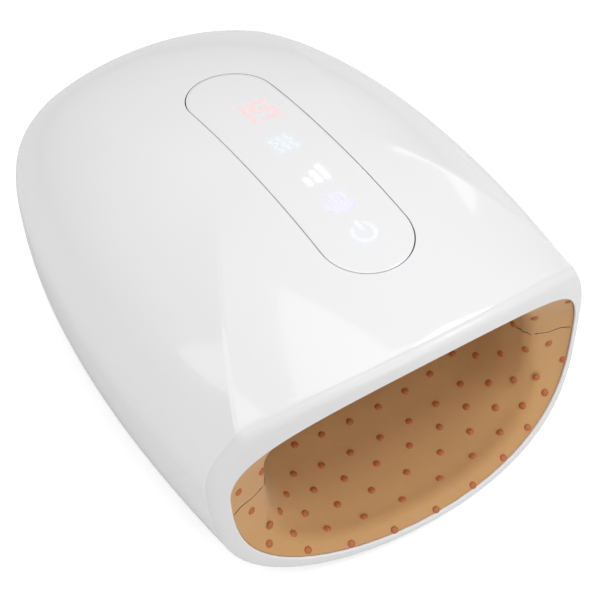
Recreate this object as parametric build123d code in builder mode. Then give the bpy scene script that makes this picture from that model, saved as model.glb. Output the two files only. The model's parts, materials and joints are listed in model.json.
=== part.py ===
from build123d import *
import os
from math import exp, hypot

# A cordless hand massager with heat and air pads. X is its width, Y its depth with the hand
# opening at the low end, Z is up. The origin is under its middle, on the surface it stands on.

# Outer form: one soft shell, widest a little behind the opening, blunt at the back
body_length = 219
front_half_width = 72.8
front_rise = 41.6
belly_drop = 46
foot_height = 3
widest_z = foot_height + belly_drop
width_swell_shares = (0.692, -0.462)
rise_swell_shares = (1.6, -1.5)
width_tail_powers = (1.5, 6.4)
rise_tail_powers = (1.2, 5.6)
drop_tail_powers = (6, 7)
tail_end_share = 0.997
upper_fullness_share = 0.552
lower_fullness_share = 0.945
form_station_shares = (-0.03, 0.1, 0.25, 0.4, 0.52, 0.66, 0.79, 0.88, 0.94, 0.975, 0.992, 1)
round_tail_power = 8

# The crease that runs from each front corner up to the waist and out again at the back
waist_y = -5
waist_share = 0.36
waist_blend = 8
crease_front_run = 149
crease_rear_run = 250
crease_end_share = 0.93
crease_lift = 2.2
crease_rear_lift = 1.4
crease_fade = 26

# The front face leans back and bows forward in its middle
front_y = -body_length / 2
rear_y = body_length / 2
front_lean_share = 0.106
front_bow = 22.3
front_bow_width = 84
front_reach = 12
overrun = 10

# The rear bay behind the hand space keeps its depth; the hand space takes the rest
rear_bay = 51.5
sleeve_depth = body_length - rear_bay

# Housing walls and the parting line low on the sides
wall = 2.4
parting_z = 14
fit_gap = 0.1
seat_gap = 0.3

# The hand opening, and the ring that trims it
mouth_half_width = 72.1
mouth_top_z = 87.5
mouth_floor_z = 7
mouth_middle_z = 47.2
mouth_upper_fullness_share = 0.53
mouth_lower_fullness_share = 0.86
ring_plate = 1.8
ring_depth = 7.4
clamp_depth = 3.4

# Control panel let into the roof
panel_half_width = 16.8
panel_near_y = front_y + 0.1776 * body_length
panel_far_y = front_y + 0.7201 * body_length
panel_thickness = 2
panel_gap = 0.15
ledge_width = 3
ledge_thickness = 2
window_y_shares = {"digits": 0.732, "heat": 0.555, "level": 0.393, "mode": 0.27, "power": 0.142}
icon_well_radius = 5.4
digits_well_size = (20, 13)
board_top_z = 91
board_thickness = 1.2
led_size = (3.5, 2.8, 1.2)
display_height = 4.2
digit_size = (6.2, 9.4)
digit_pitch = 8.8
segment_width = 1.1
segment_depth = 0.6

# Fabric sleeve that lines the hand space: its places, widths, ceiling and floor along the depth
seam_z = 38
fabric = 1.2
sleeve_gap = 0.3
sleeve_station_shares = (-0.065, 0.026, 0.072, 0.131, 0.161, 0.19, 0.235, 0.353, 0.915, 1)
sleeve_width_shares = (1, 1, 1, 1, 0.872, 0.83, 0.8, 0.775, 0.76, 0.62)
sleeve_ceiling_shares = (1, 1, 0.94, 0.848, 0.805, 0.766, 0.705, 0.655, 0.61, 0.385)
sleeve_floor_shares = (1, 1, 1, 0.994, 0.987, 0.976, 0.962, 0.83, 0.815, 0.69)

# Massage dots on the floor fabric
dot_radius = 1.9
dot_height = 1
dot_inset = 3
dot_row_pitch = 9.1
dot_pitch = 17.2
dot_pitch_loss = 0.8
dot_row_count = 6
dot_reach_share = 0.92

# Pads, air bladders and the two trays that carry them round the sleeve
pad_half_width = 42
palm_pad_y = (front_y + 0.26 * sleeve_depth, front_y + 0.606 * sleeve_depth)
finger_pad_y = (front_y + 0.642 * sleeve_depth, front_y + 0.9045 * sleeve_depth)
floor_pad_y = (front_y + 0.391 * sleeve_depth, front_y + 0.9045 * sleeve_depth)
pad_thickness = 5
floor_pad_thickness = 3.5
bladder_thickness = 4.2
floor_bladder_thickness = 2.1
layer_gap = 0.3
tray_wall = 2
floor_tray_wall = 1.5
tray_side_gap = 2.6
roof_tray_front_y = front_y + 0.212 * sleeve_depth
floor_tray_front_y = front_y + 0.385 * sleeve_depth
film_thickness = 0.4

# Screw posts between the two housings
post_radius = 4
post_split_z = 40
screw_radius = 1.5
screw_hole_radius = 1.7
screw_pilot_radius = 1.45
screw_head_radius = 2.8
screw_head_height = 2
screw_sink_z = 13
screw_bite = 11
slot_width = 0.8
post_places = ((66, -0.283 * body_length), (66, 0.0913 * body_length), (57, rear_y - 41.5))

# Rubber feet and air slots in the base
foot_radius = 6
foot_sink = 3.2
foot_places = ((42, -0.347 * body_length), (36, 0.2283 * body_length))
foot_chamfer = 0.8
vent_x = 0
vent_y = rear_y - 47.5
vent_size = (1.4, 9)
vent_pitch = 4
vent_count = 5

# Air pump across the rear bay
pump_y = rear_y - 26.5
pump_z = 23.5
can_radius = 12
can_wall = 0.8
can_length = 30
can_end_x = -44
shaft_radius = 1
bush_radius = 3
bush_length = 2.4
armature_radius = 9.4
armature_length = 17
magnet_thickness = 1.4
head_size = 22
head_length = 23
head_wall = 2
eccentric_radius = 5.6
eccentric_length = 6
eccentric_offset = 2.4
drive_pin_radius = 1
drive_pin_length = 6
nozzle_radius = 1.6
nozzle_bore = 0.9
nozzle_length = 7
running_gap = 0.05
cradle_width = 8
cradle_wall = 1.6
cradle_floor_z = 5
magnet_gap = 3
cap_thickness = 2.4
pole_count = 3
pole_slot_radius = 2.2
diaphragm_thickness = 1.4
lobe_radius = 2.8
lobe_height = 3
lobe_pitch_radius = 6.2

# Three exhaust valves beside the pump
valve_places_x = (19, 30.5, 42)
valve_y = rear_y - 30.5
valve_base_z = 15.5
valve_size = (10, 12, 16)
plunger_radius = 2
plunger_length = 10
coil_radius = 3.9
valve_frame = 1
rail_height = 9

# Battery of two round cells in a holder
cell_radius = 9.1
cell_length = 65
cell_y = rear_y - 18.5
cell_places_z = (43.7, 62)
holder_wall = 1.4
cell_button = 0.8

# Main board upright behind the sleeve, with its parts on the rear side
main_board_size = (88, 1.6, 46)
main_board_y = rear_y - 47.1
main_board_z = 42
board_part_size = 1
board_part_table_shares = (
    (-0.3, 0.2, (7, 7, 1)),
    (-0.12, -0.15, (5, 4, 1.6)),
    (0.05, 0.22, (10, 10, 1.4)),
    (0.2, -0.2, (8, 4, 3)),
    (0.36, 0.12, (6, 12, 5)),
    (-0.38, -0.25, (10, 5, 5)),
)
capacitor_place_shares = (-0.2, 0.24)
capacitor_lift = 3
capacitor_radius = 3.1
capacitor_height = 6.5

# Grooved rails on the base that hold the board by its side edges
rail_width = 4
rail_bite = 1.5
rail_wall = 1.4
rail_top_z = 34

# Charging socket in the rear wall
port_z = 27
port_size = (9, 3.3)
port_shell = 0.4
port_depth = 7.4
port_board_size = (16, 10, 1.2)
socket_inset = 1


def along(y, inset):
    return tail_end_share * (y - front_y) / (body_length - inset)


def swell(share, gains, powers):
    blunt = (1 - max(share, 0) ** powers[0]) ** (1 / powers[1])
    return (1 + gains[0] * share + gains[1] * share**2) * blunt


def half_width(y, inset=0):
    return front_half_width * swell(along(y, inset), width_swell_shares, width_tail_powers) - inset


def rise(y, inset=0):
    return front_rise * swell(along(y, inset), rise_swell_shares, rise_tail_powers) - inset


def drop(y, inset=0):
    return belly_drop * swell(along(y, inset), (0, 0), drop_tail_powers) - inset


def crease_share(y):
    away = hypot(y - waist_y, waist_blend) - waist_blend
    run = crease_front_run if y < waist_y else crease_rear_run
    return min(waist_share + away / run, crease_end_share)


def crease_height(y):
    lift = crease_lift if y < waist_y else crease_rear_lift
    grown = 1 - exp(-(((y - waist_y) / crease_fade) ** 2))
    return lift * grown * (1 - max(along(y, 0), 0) ** round_tail_power)


# A quarter of a soft section, as the four corners of one Bezier curve from its side to its crown
def quarter(width, height, fullness):
    return [(width, 0), (width, height * fullness), (width * fullness, height), (0, height)]


# Both parts of a Bezier curve that is cut where it is the given share of its way along
def cut_curve(corners, share):
    left, right = [], []
    row = corners
    while row:
        left.append(row[0])
        right.insert(0, row[-1])
        row = [
            (a[0] + (b[0] - a[0]) * share, a[1] + (b[1] - a[1]) * share)
            for a, b in zip(row, row[1:])
        ]
    return left, right


def place_on_curve(corners, x):
    low, high = 0, 1
    for step in range(24):
        middle = (low + high) / 2
        if cut_curve(corners, middle)[0][-1][0] > x:
            low = middle
        else:
            high = middle
    return low


# One curve of a section, to the right and to the left of the middle
def pair(corners, middle_z):
    return [[(side * x, middle_z + z) for x, z in corners] for side in (1, -1)]


# The six curves of a section: both lower quarters, both sides and both halves of the crown
def outer_curves(y, inset):
    width = half_width(y, inset)
    height = rise(y, inset)
    upper = quarter(width, height, upper_fullness_share)
    side, crown = cut_curve(upper, place_on_curve(upper, width * crease_share(y)))
    x, z = side[-1]
    lift = crease_height(y) / hypot(x / width**2, z / height**2)
    ridge = (x + lift * x / width**2, z + lift * z / height**2)
    side[-1] = ridge
    crown[0] = ridge
    lower = quarter(width, -drop(y, inset), lower_fullness_share)
    return pair(lower, widest_z) + pair(side, widest_z) + pair(crown, widest_z)


# The outer form, or the same form a wall thickness further in
def outer_form(inset):
    with BuildPart() as form:
        for share in form_station_shares:
            y = front_y + share * (body_length - inset)
            with BuildSketch(Plane.XZ.offset(-y)):
                with BuildLine():
                    for corners in outer_curves(y, inset):
                        Bezier(*corners)
                make_face()
        loft()
    return form.part


# All that lies in front of the front face, or in front of a face that much further back
def front_space(depth):
    lean = (0, front_lean_share, 1)
    middle = front_y + depth - front_lean_share * foot_height
    side = middle + front_bow
    tall = 2 * (widest_z + front_rise)
    with BuildPart() as space:
        with BuildSketch(Plane.XY):
            with BuildLine():
                ThreePointArc((-front_bow_width, side), (0, middle), (front_bow_width, side))
                Polyline(
                    (front_bow_width, side),
                    (front_bow_width + front_reach, side + front_bow / 2),
                    (front_bow_width + front_reach, middle - 2 * front_reach),
                    (-front_bow_width - front_reach, middle - 2 * front_reach),
                    (-front_bow_width - front_reach, side + front_bow / 2),
                    (-front_bow_width, side),
                )
            make_face()
        extrude(amount=tall, dir=lean, both=True)
    return space.part


# The four curves of the hand opening's outline, and of the sleeve behind it
def soft_curves(width, upper, lower, middle_z):
    above = quarter(width, upper, mouth_upper_fullness_share)
    below = quarter(width, -lower, mouth_lower_fullness_share)
    return pair(above, middle_z) + pair(below, middle_z)


# The opening as a straight passage from the front, grown or shrunk all round
def mouth_passage(grow):
    width = mouth_half_width + grow
    upper = mouth_top_z - mouth_middle_z + grow
    lower = mouth_middle_z - mouth_floor_z + grow
    with BuildPart() as passage:
        with BuildSketch(Plane.XZ.offset(-front_y + front_reach)):
            with BuildLine():
                for corners in soft_curves(width, upper, lower, mouth_middle_z):
                    Bezier(*corners)
            make_face()
        extrude(amount=-front_bow - 3 * front_reach)
    return passage.part


# The sleeve's outer form, grown by its own amounts to the sides, up and down, and at its end
def sleeve_form(side, up, down, end=0):
    with BuildPart() as form:
        shares = zip(
            sleeve_station_shares, sleeve_width_shares, sleeve_ceiling_shares, sleeve_floor_shares
        )
        for place, width_share, ceiling_share, floor_share in shares:
            last = place == sleeve_station_shares[-1]
            y = front_y + place * sleeve_depth + (end if last else 0)
            width = (mouth_half_width - sleeve_gap) * width_share + side
            ceiling = (mouth_top_z - sleeve_gap - mouth_middle_z) * ceiling_share + up
            floor = (mouth_middle_z - mouth_floor_z - sleeve_gap) * floor_share + down
            with BuildSketch(Plane.XZ.offset(-y)):
                with BuildLine():
                    for corners in soft_curves(width, ceiling, floor, mouth_middle_z):
                        Bezier(*corners)
                make_face()
        loft(ruled=True)
    return form.part


# A block from its lowest to its highest corner
def block(low, high):
    size = [b - a for a, b in zip(low, high)]
    middle = [(a + b) / 2 for a, b in zip(low, high)]
    return Pos(*middle) * Box(*size, mode=Mode.PRIVATE)


# A long rounded column over the control panel, grown or shrunk all round
def panel_column(grow, low_z, high_z):
    with BuildPart() as column:
        with BuildSketch(Plane.XY.offset(low_z)):
            with Locations((0, (panel_near_y + panel_far_y) / 2)):
                SlotOverall(
                    panel_far_y - panel_near_y + 2 * grow,
                    2 * (panel_half_width + grow),
                    rotation=90,
                )
        extrude(amount=high_z - low_z)
    return column.part


def save(part, name):
    part.label = name
    export_step(part, "parts/" + name + ".step")


def both_sides(places):
    return [(side * x, y) for x, y in places for side in (-1, 1)]


os.makedirs("parts", exist_ok=True)

body_top_z = widest_z + front_rise * 2
outer = outer_form(0)
inner = outer_form(wall)
inner_fit = outer_form(wall + seat_gap)
panel_floor = outer_form(panel_thickness)
ledge_floor = outer_form(wall + ledge_thickness)
ahead = front_space(0)
ahead_of_plate = front_space(ring_plate)
ahead_of_ring = front_space(ring_depth)
ahead_of_clamp = front_space(ring_depth + clamp_depth)
mouth = mouth_passage(0)

# Top housing: the whole outer shell above the parting line
with BuildPart() as ledge:
    add(inner)
    add(ledge_floor, mode=Mode.SUBTRACT)
    add(panel_column(ledge_width, widest_z, body_top_z), mode=Mode.INTERSECT)
    add(panel_column(-ledge_width, widest_z, body_top_z), mode=Mode.SUBTRACT)

with BuildPart() as top_posts:
    with BuildSketch(Plane.XY.offset(post_split_z)):
        with Locations(both_sides(post_places)):
            Circle(post_radius)
    extrude(amount=body_top_z - post_split_z)
    add(panel_floor, mode=Mode.INTERSECT)
    with BuildSketch(Plane.XY.offset(post_split_z)):
        with Locations(both_sides(post_places)):
            Circle(screw_pilot_radius)
    extrude(amount=screw_bite + screw_radius, mode=Mode.SUBTRACT)

with BuildPart() as top_shell:
    add(outer)
    add(inner, mode=Mode.SUBTRACT)
    add(ahead_of_plate, mode=Mode.SUBTRACT)
    split(bisect_by=Plane.XY.offset(parting_z), keep=Keep.TOP)
    add(panel_column(0, widest_z, body_top_z), mode=Mode.SUBTRACT)
    add(ledge.part)
    add(top_posts.part)
    # the window of the charging socket
    with BuildSketch(Plane.XZ.offset(-rear_y - overrun)):
        with Locations((0, port_z)):
            SlotOverall(port_size[0] + 2 * seat_gap, port_size[1] + 2 * seat_gap)
    extrude(amount=2 * overrun, mode=Mode.SUBTRACT)
save(top_shell.part, "top_shell")

# Base housing: a shallow pan with the lower screw posts
with BuildPart() as base_posts:
    with BuildSketch(Plane.XY):
        with Locations(both_sides(post_places)):
            Circle(post_radius)
    extrude(amount=post_split_z - fit_gap)

with BuildPart() as post_space:
    add(outer)
    add(base_posts.part, mode=Mode.INTERSECT)

with BuildPart() as board_rails:
    rail_low_y = main_board_y - rail_wall
    rail_high_y = main_board_y + main_board_size[1] + rail_wall
    rail_inner_x = main_board_size[0] / 2 - rail_bite
    for side in (-1, 1):
        ends_x = sorted((side * rail_inner_x, side * (rail_inner_x + rail_width)))
        add(block((ends_x[0], rail_low_y, 0), (ends_x[1], rail_high_y, rail_top_z)))
    add(outer, mode=Mode.INTERSECT)
    board_reach_x = main_board_size[0] / 2 + fit_gap
    board_low_z = main_board_z - main_board_size[2] / 2
    add(block(
        (-board_reach_x, main_board_y - fit_gap, board_low_z),
        (board_reach_x, main_board_y + main_board_size[1] + fit_gap, body_top_z),
    ), mode=Mode.SUBTRACT)

with BuildPart() as base_shell:
    add(outer)
    add(inner, mode=Mode.SUBTRACT)
    add(ahead_of_plate, mode=Mode.SUBTRACT)
    split(bisect_by=Plane.XY.offset(parting_z), keep=Keep.BOTTOM)
    add(post_space.part)
    add(board_rails.part)
    with BuildSketch(Plane.XY):
        with Locations(both_sides(post_places)):
            Circle(screw_head_radius + seat_gap)
    extrude(amount=screw_sink_z + screw_head_height, mode=Mode.SUBTRACT)
    with BuildSketch(Plane.XY):
        with Locations(both_sides(post_places)):
            Circle(screw_hole_radius)
    extrude(amount=post_split_z, mode=Mode.SUBTRACT)
    with BuildSketch(Plane.XY):
        with Locations(both_sides(foot_places)):
            Circle(foot_radius + fit_gap)
    extrude(amount=foot_height + foot_sink, mode=Mode.SUBTRACT)
    # air slots under the pump
    with BuildSketch(Plane.XY):
        with Locations((vent_x, vent_y)):
            with GridLocations(vent_pitch, 0, vent_count, 1):
                Rectangle(*vent_size)
    extrude(amount=foot_height + wall + overrun, mode=Mode.SUBTRACT)
save(base_shell.part, "base_shell")

# Front ring: a plate flush with the shells, with a deeper rim that plugs into them
with BuildPart() as ring_rim:
    add(inner_fit)
    add(ahead_of_ring, mode=Mode.INTERSECT)

with BuildPart() as front_ring:
    add(outer)
    add(front_space(ring_plate - fit_gap), mode=Mode.INTERSECT)
    add(ring_rim.part)
    add(ahead, mode=Mode.SUBTRACT)
    add(mouth, mode=Mode.SUBTRACT)
save(front_ring.part, "front_ring")

# Clamp ring behind it, which holds the edge of the fabric sleeve
with BuildPart() as liner_clamp:
    add(inner_fit)
    add(ahead_of_clamp, mode=Mode.INTERSECT)
    add(ahead_of_ring, mode=Mode.SUBTRACT)
    add(mouth, mode=Mode.SUBTRACT)
save(liner_clamp.part, "liner_clamp")

# Control panel: one clear-topped plate that follows the roof, glued to its ledge by a gasket
with BuildPart() as control_panel:
    add(outer)
    add(panel_floor, mode=Mode.SUBTRACT)
    add(panel_column(-panel_gap, widest_z, body_top_z), mode=Mode.INTERSECT)
save(control_panel.part, "control_panel")

with BuildPart() as panel_gasket:
    add(panel_floor)
    add(inner, mode=Mode.SUBTRACT)
    add(panel_column(-panel_gap, widest_z, body_top_z), mode=Mode.INTERSECT)
    add(panel_column(-ledge_width, widest_z, body_top_z), mode=Mode.SUBTRACT)
save(panel_gasket.part, "panel_gasket")


# Place of a window along the panel
def window_y(name):
    return panel_near_y + window_y_shares[name] * (panel_far_y - panel_near_y)


icon_places = [(0, window_y(name)) for name in ("heat", "level", "mode", "power")]
digits_place = (0, window_y("digits"))

# Light guide: a block under the panel with a well for the digits and for each lit mark
with BuildPart() as light_guide:
    add(inner_fit)
    add(panel_column(-ledge_width - seat_gap, board_top_z, body_top_z), mode=Mode.INTERSECT)
    with BuildSketch(Plane.XY.offset(board_top_z)):
        with Locations(*icon_places):
            Circle(icon_well_radius)
        with Locations(digits_place):
            RectangleRounded(*digits_well_size, digits_well_size[1] / 6)
    extrude(amount=body_top_z - board_top_z, mode=Mode.SUBTRACT)
save(light_guide.part, "light_guide")

# Touch board under the light guide, with its four lamps and the two-digit display
with BuildPart() as touch_board:
    add(panel_column(-ledge_width - seat_gap, board_top_z - board_thickness, board_top_z))
save(touch_board.part, "touch_board")

with BuildPart() as panel_lamps:
    with BuildSketch(Plane.XY.offset(board_top_z)):
        with Locations(*icon_places):
            Rectangle(led_size[0], led_size[1])
    extrude(amount=led_size[2])
save(panel_lamps.part, "panel_lamps")

with BuildPart() as digit_display:
    with BuildSketch(Plane.XY.offset(board_top_z)):
        with Locations(digits_place):
            RectangleRounded(
                digits_well_size[0] - 2 * seat_gap,
                digits_well_size[1] - 2 * seat_gap,
                digits_well_size[1] / 8,
            )
    extrude(amount=display_height)
    with BuildSketch(Plane.XY.offset(board_top_z + display_height)):
        for side in (-1, 1):
            for row in (-1, 0, 1):
                with Locations((side * digit_pitch / 2, digits_place[1] + row * digit_size[1] / 2)):
                    Rectangle(digit_size[0] - 1.5 * segment_width, segment_width)
            for across in (-1, 1):
                for half in (-1, 1):
                    with Locations((
                        side * digit_pitch / 2 + across * digit_size[0] / 2,
                        digits_place[1] + half * digit_size[1] / 4,
                    )):
                        Rectangle(segment_width, digit_size[1] / 2 - 1.5 * segment_width)
    extrude(amount=-segment_depth, mode=Mode.SUBTRACT)
save(digit_display.part, "digit_display")

# Fabric sleeve: ceiling and floor halves, sewn together along both sides
sleeve = sleeve_form(0, 0, 0)
sleeve_space = sleeve_form(-fabric, -fabric, -fabric, -fabric)
ahead_of_fabric = front_space(ring_plate + fit_gap)
with BuildPart() as sleeve_skin:
    add(sleeve)
    add(sleeve_space, mode=Mode.SUBTRACT)
    add(ahead_of_fabric, mode=Mode.SUBTRACT)

with BuildPart() as ceiling_liner:
    add(sleeve_skin.part)
    split(bisect_by=Plane.XY.offset(seam_z), keep=Keep.TOP)
save(ceiling_liner.part, "ceiling_liner")

with BuildPart() as floor_liner:
    add(sleeve_skin.part)
    split(bisect_by=Plane.XY.offset(seam_z), keep=Keep.BOTTOM)
save(floor_liner.part, "floor_liner")

# Massage dots: staggered rows of low bumps on the floor fabric, bent like the front
with BuildPart() as dot_columns:
    for row in range(dot_row_count):
        row_y = front_y + dot_inset + row * dot_row_pitch
        pitch = dot_pitch - row * dot_pitch_loss
        reach = dot_reach_share * (mouth_half_width - dot_radius - row * dot_pitch_loss * 3)
        for step in range(-4, 5):
            x = (step + (row % 2) / 2) * pitch
            if abs(x) < reach:
                with BuildSketch(Plane.XY):
                    with Locations((x, row_y + front_bow * (x / front_bow_width) ** 2)):
                        Circle(dot_radius)
                extrude(amount=seam_z - pad_thickness)

with BuildPart() as massage_dots:
    add(sleeve_space)
    add(sleeve_form(-fabric - dot_height, -fabric, -fabric - dot_height), mode=Mode.SUBTRACT)
    add(dot_columns.part, mode=Mode.INTERSECT)
save(massage_dots.part, "massage_dots")

# Trays: moulded half tunnels that carry the air bladders, one over the sleeve and one under it
roof_reach = pad_thickness + bladder_thickness + 3 * layer_gap
floor_reach = floor_pad_thickness + floor_bladder_thickness + 3 * layer_gap
tray_inside = sleeve_form(tray_side_gap, roof_reach, floor_reach, layer_gap)
tray_outside = sleeve_form(
    tray_side_gap + tray_wall, roof_reach + tray_wall, floor_reach + floor_tray_wall, tray_wall
)
with BuildPart() as tunnel:
    add(tray_outside)
    add(tray_inside, mode=Mode.SUBTRACT)

with BuildPart() as roof_tray:
    add(tunnel.part)
    add(block((-rear_y, roof_tray_front_y, seam_z), (rear_y, rear_y, body_top_z)),
        mode=Mode.INTERSECT)
save(roof_tray.part, "roof_tray")

with BuildPart() as floor_tray:
    add(tunnel.part)
    add(block((-rear_y, floor_tray_front_y, 0), (rear_y, rear_y, seam_z)), mode=Mode.INTERSECT)
save(floor_tray.part, "floor_tray")


# A layer that follows the sleeve between two distances from it, inside a block
def sleeve_layer(near, far, reach, low, high):
    lean = (tray_side_gap - 2 * layer_gap) / (reach - 2 * layer_gap)
    near_side = layer_gap + (near - layer_gap) * lean
    far_side = layer_gap + (far - layer_gap) * lean
    with BuildPart() as layer:
        add(sleeve_form(far_side, far, far, far))
        add(sleeve_form(near_side, near, near, near), mode=Mode.SUBTRACT)
        add(block(low, high), mode=Mode.INTERSECT)
    return layer.part


def roof_layer(near, far, reach_y):
    low = (-pad_half_width, reach_y[0], mouth_middle_z)
    return sleeve_layer(near, far, roof_reach, low, (pad_half_width, reach_y[1], body_top_z))


def floor_layer(near, far, reach_y):
    high = (pad_half_width, reach_y[1], seam_z - pad_thickness)
    return sleeve_layer(near, far, floor_reach, (-pad_half_width, reach_y[0], 0), high)


pad_near = layer_gap
film_near = pad_near + pad_thickness - film_thickness
bladder_near = pad_near + pad_thickness + layer_gap
save(roof_layer(pad_near, film_near, palm_pad_y), "palm_pad")
save(roof_layer(film_near, pad_near + pad_thickness, palm_pad_y), "palm_heater")
save(roof_layer(bladder_near, bladder_near + bladder_thickness, palm_pad_y), "palm_bladder")
save(roof_layer(pad_near, pad_near + pad_thickness, finger_pad_y), "finger_pad")
save(roof_layer(bladder_near, bladder_near + bladder_thickness, finger_pad_y), "finger_bladder")
floor_film_near = pad_near + floor_pad_thickness - film_thickness
floor_bladder_near = pad_near + floor_pad_thickness + layer_gap
save(floor_layer(pad_near, floor_film_near, floor_pad_y), "floor_pad")
save(floor_layer(floor_film_near, pad_near + floor_pad_thickness, floor_pad_y), "floor_heater")
save(
    floor_layer(floor_bladder_near, floor_bladder_near + floor_bladder_thickness, floor_pad_y),
    "floor_bladder",
)

# Rubber feet
with BuildPart() as rubber_feet:
    with BuildSketch(Plane.XY):
        with Locations(both_sides(foot_places)):
            Circle(foot_radius)
    extrude(amount=foot_height + foot_sink - fit_gap)
    chamfer(rubber_feet.edges().group_by(Axis.Z)[0], foot_chamfer)
save(rubber_feet.part, "rubber_feet")

# Screws that draw the housings together
with BuildPart() as housing_screws:
    screw_top_z = post_split_z + screw_bite
    with BuildSketch(Plane.XY.offset(screw_sink_z)):
        with Locations(both_sides(post_places)):
            Circle(screw_head_radius)
    extrude(amount=screw_head_height)
    with BuildSketch(Plane.XY.offset(screw_sink_z)):
        with Locations(both_sides(post_places)):
            Circle(screw_pilot_radius)
    extrude(amount=screw_top_z - screw_sink_z)
    with BuildSketch(Plane.XY.offset(screw_sink_z)):
        with Locations(both_sides(post_places)):
            Rectangle(3 * screw_radius, slot_width)
    extrude(amount=screw_head_height / 2, mode=Mode.SUBTRACT)
save(housing_screws.part, "housing_screws")

# Air pump: a small motor lying across the rear bay, with its head at one end
can_middle_x = can_end_x + can_length / 2
with BuildPart() as motor_can:
    with BuildSketch(Plane.YZ.offset(can_end_x)):
        with Locations((pump_y, pump_z)):
            Circle(can_radius)
    extrude(amount=can_length)
    fillet(motor_can.edges().filter_by(GeomType.CIRCLE).group_by(Axis.X)[0], can_wall)
    with BuildSketch(Plane.YZ.offset(can_end_x + can_wall)):
        with Locations((pump_y, pump_z)):
            Circle(can_radius - can_wall)
    extrude(amount=can_length, mode=Mode.SUBTRACT)
    with BuildSketch(Plane.YZ.offset(can_end_x)):
        with Locations((pump_y, pump_z)):
            Circle(bush_radius)
    extrude(amount=can_wall, mode=Mode.SUBTRACT)
save(motor_can.part, "motor_can")

magnet_radius = can_radius - can_wall - fit_gap
with BuildPart() as motor_magnets:
    with BuildSketch(Plane.YZ.offset(can_middle_x - armature_length / 2)):
        with Locations((pump_y, pump_z)):
            Circle(magnet_radius)
            Circle(magnet_radius - magnet_thickness, mode=Mode.SUBTRACT)
            Rectangle(2 * can_radius, magnet_gap, mode=Mode.SUBTRACT)
    extrude(amount=armature_length)
save(motor_magnets.part, "motor_magnets")

cap_x = can_end_x + can_length
with BuildPart() as motor_cap:
    with BuildSketch(Plane.YZ.offset(cap_x - cap_thickness)):
        with Locations((pump_y, pump_z)):
            Circle(can_radius - can_wall - fit_gap)
            Circle(bush_radius, mode=Mode.SUBTRACT)
    extrude(amount=cap_thickness)
save(motor_cap.part, "motor_cap")

with BuildPart() as motor_bushes:
    for x in (can_end_x, cap_x - bush_length):
        with BuildSketch(Plane.YZ.offset(x)):
            with Locations((pump_y, pump_z)):
                Circle(bush_radius)
                Circle(shaft_radius + running_gap, mode=Mode.SUBTRACT)
        extrude(amount=bush_length)
save(motor_bushes.part, "motor_bushes")

shaft_end_x = cap_x + head_wall + seat_gap + eccentric_length
with BuildPart() as pump_shaft:
    with BuildSketch(Plane.YZ.offset(can_end_x - seat_gap)):
        with Locations((pump_y, pump_z)):
            Circle(shaft_radius)
    extrude(amount=shaft_end_x - can_end_x + seat_gap)
save(pump_shaft.part, "pump_shaft")

# Armature: three wound poles on the shaft
with BuildPart() as pump_armature:
    with BuildSketch(Plane.YZ.offset(can_middle_x - armature_length / 2)):
        with Locations((pump_y, pump_z)):
            Circle(armature_radius)
        with Locations((pump_y, pump_z)):
            with PolarLocations(armature_radius, pole_count):
                Circle(pole_slot_radius, mode=Mode.SUBTRACT)
        with Locations((pump_y, pump_z)):
            Circle(shaft_radius, mode=Mode.SUBTRACT)
    extrude(amount=armature_length)
save(pump_armature.part, "pump_armature")

# Eccentric: a weighted crank on the shaft with a pin that nods the diaphragm plate
with BuildPart() as pump_eccentric:
    with BuildSketch(Plane.YZ.offset(cap_x + head_wall + seat_gap)):
        with Locations((pump_y, pump_z)):
            Circle(eccentric_radius)
            Circle(shaft_radius, mode=Mode.SUBTRACT)
    extrude(amount=eccentric_length)
    with BuildSketch(Plane.YZ.offset(shaft_end_x)):
        with Locations((pump_y + eccentric_offset, pump_z)):
            Circle(drive_pin_radius)
    extrude(amount=drive_pin_length)
save(pump_eccentric.part, "pump_eccentric")

# Pump head: a square housing round the eccentric, with the outlet nozzle on top
head_rear_x = cap_x + head_length
with BuildPart() as pump_head:
    with BuildSketch(Plane.YZ.offset(cap_x)):
        with Locations((pump_y, pump_z)):
            RectangleRounded(head_size, head_size, head_wall)
            Circle(bush_radius + seat_gap, mode=Mode.SUBTRACT)
    extrude(amount=head_wall)
    with BuildSketch(Plane.YZ.offset(cap_x + head_wall)):
        with Locations((pump_y, pump_z)):
            RectangleRounded(head_size, head_size, head_wall)
            Circle(head_size / 2 - head_wall, mode=Mode.SUBTRACT)
    extrude(amount=head_length - 2 * head_wall)
    with BuildSketch(Plane.YZ.offset(head_rear_x - head_wall)):
        with Locations((pump_y, pump_z)):
            RectangleRounded(head_size, head_size, head_wall)
    extrude(amount=head_wall)
    with BuildSketch(Plane.XY.offset(pump_z + head_size / 2 - head_wall / 2)):
        with Locations((head_rear_x - head_length / 4, pump_y - head_size / 3)):
            Circle(nozzle_radius)
    extrude(amount=nozzle_length + head_wall / 2)
    with BuildSketch(Plane.XY.offset(pump_z + head_size / 2 + nozzle_length)):
        with Locations((head_rear_x - head_length / 4, pump_y - head_size / 3)):
            Circle(nozzle_bore)
    extrude(amount=-nozzle_length, mode=Mode.SUBTRACT)
save(pump_head.part, "pump_head")

# Three-lobed rubber diaphragm, held in the head, around the drive pin
diaphragm_x = head_rear_x - head_wall - diaphragm_thickness - fit_gap
with BuildPart() as pump_diaphragm:
    with BuildSketch(Plane.YZ.offset(diaphragm_x)):
        with Locations((pump_y, pump_z)):
            Circle(head_size / 2 - head_wall - fit_gap)
            Circle(eccentric_offset + drive_pin_radius + seat_gap, mode=Mode.SUBTRACT)
    extrude(amount=diaphragm_thickness)
    with BuildSketch(Plane.YZ.offset(diaphragm_x)):
        with Locations((pump_y, pump_z)):
            with PolarLocations(lobe_pitch_radius, 3):
                Circle(lobe_radius)
    extrude(amount=-lobe_height)
save(pump_diaphragm.part, "pump_diaphragm")

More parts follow.
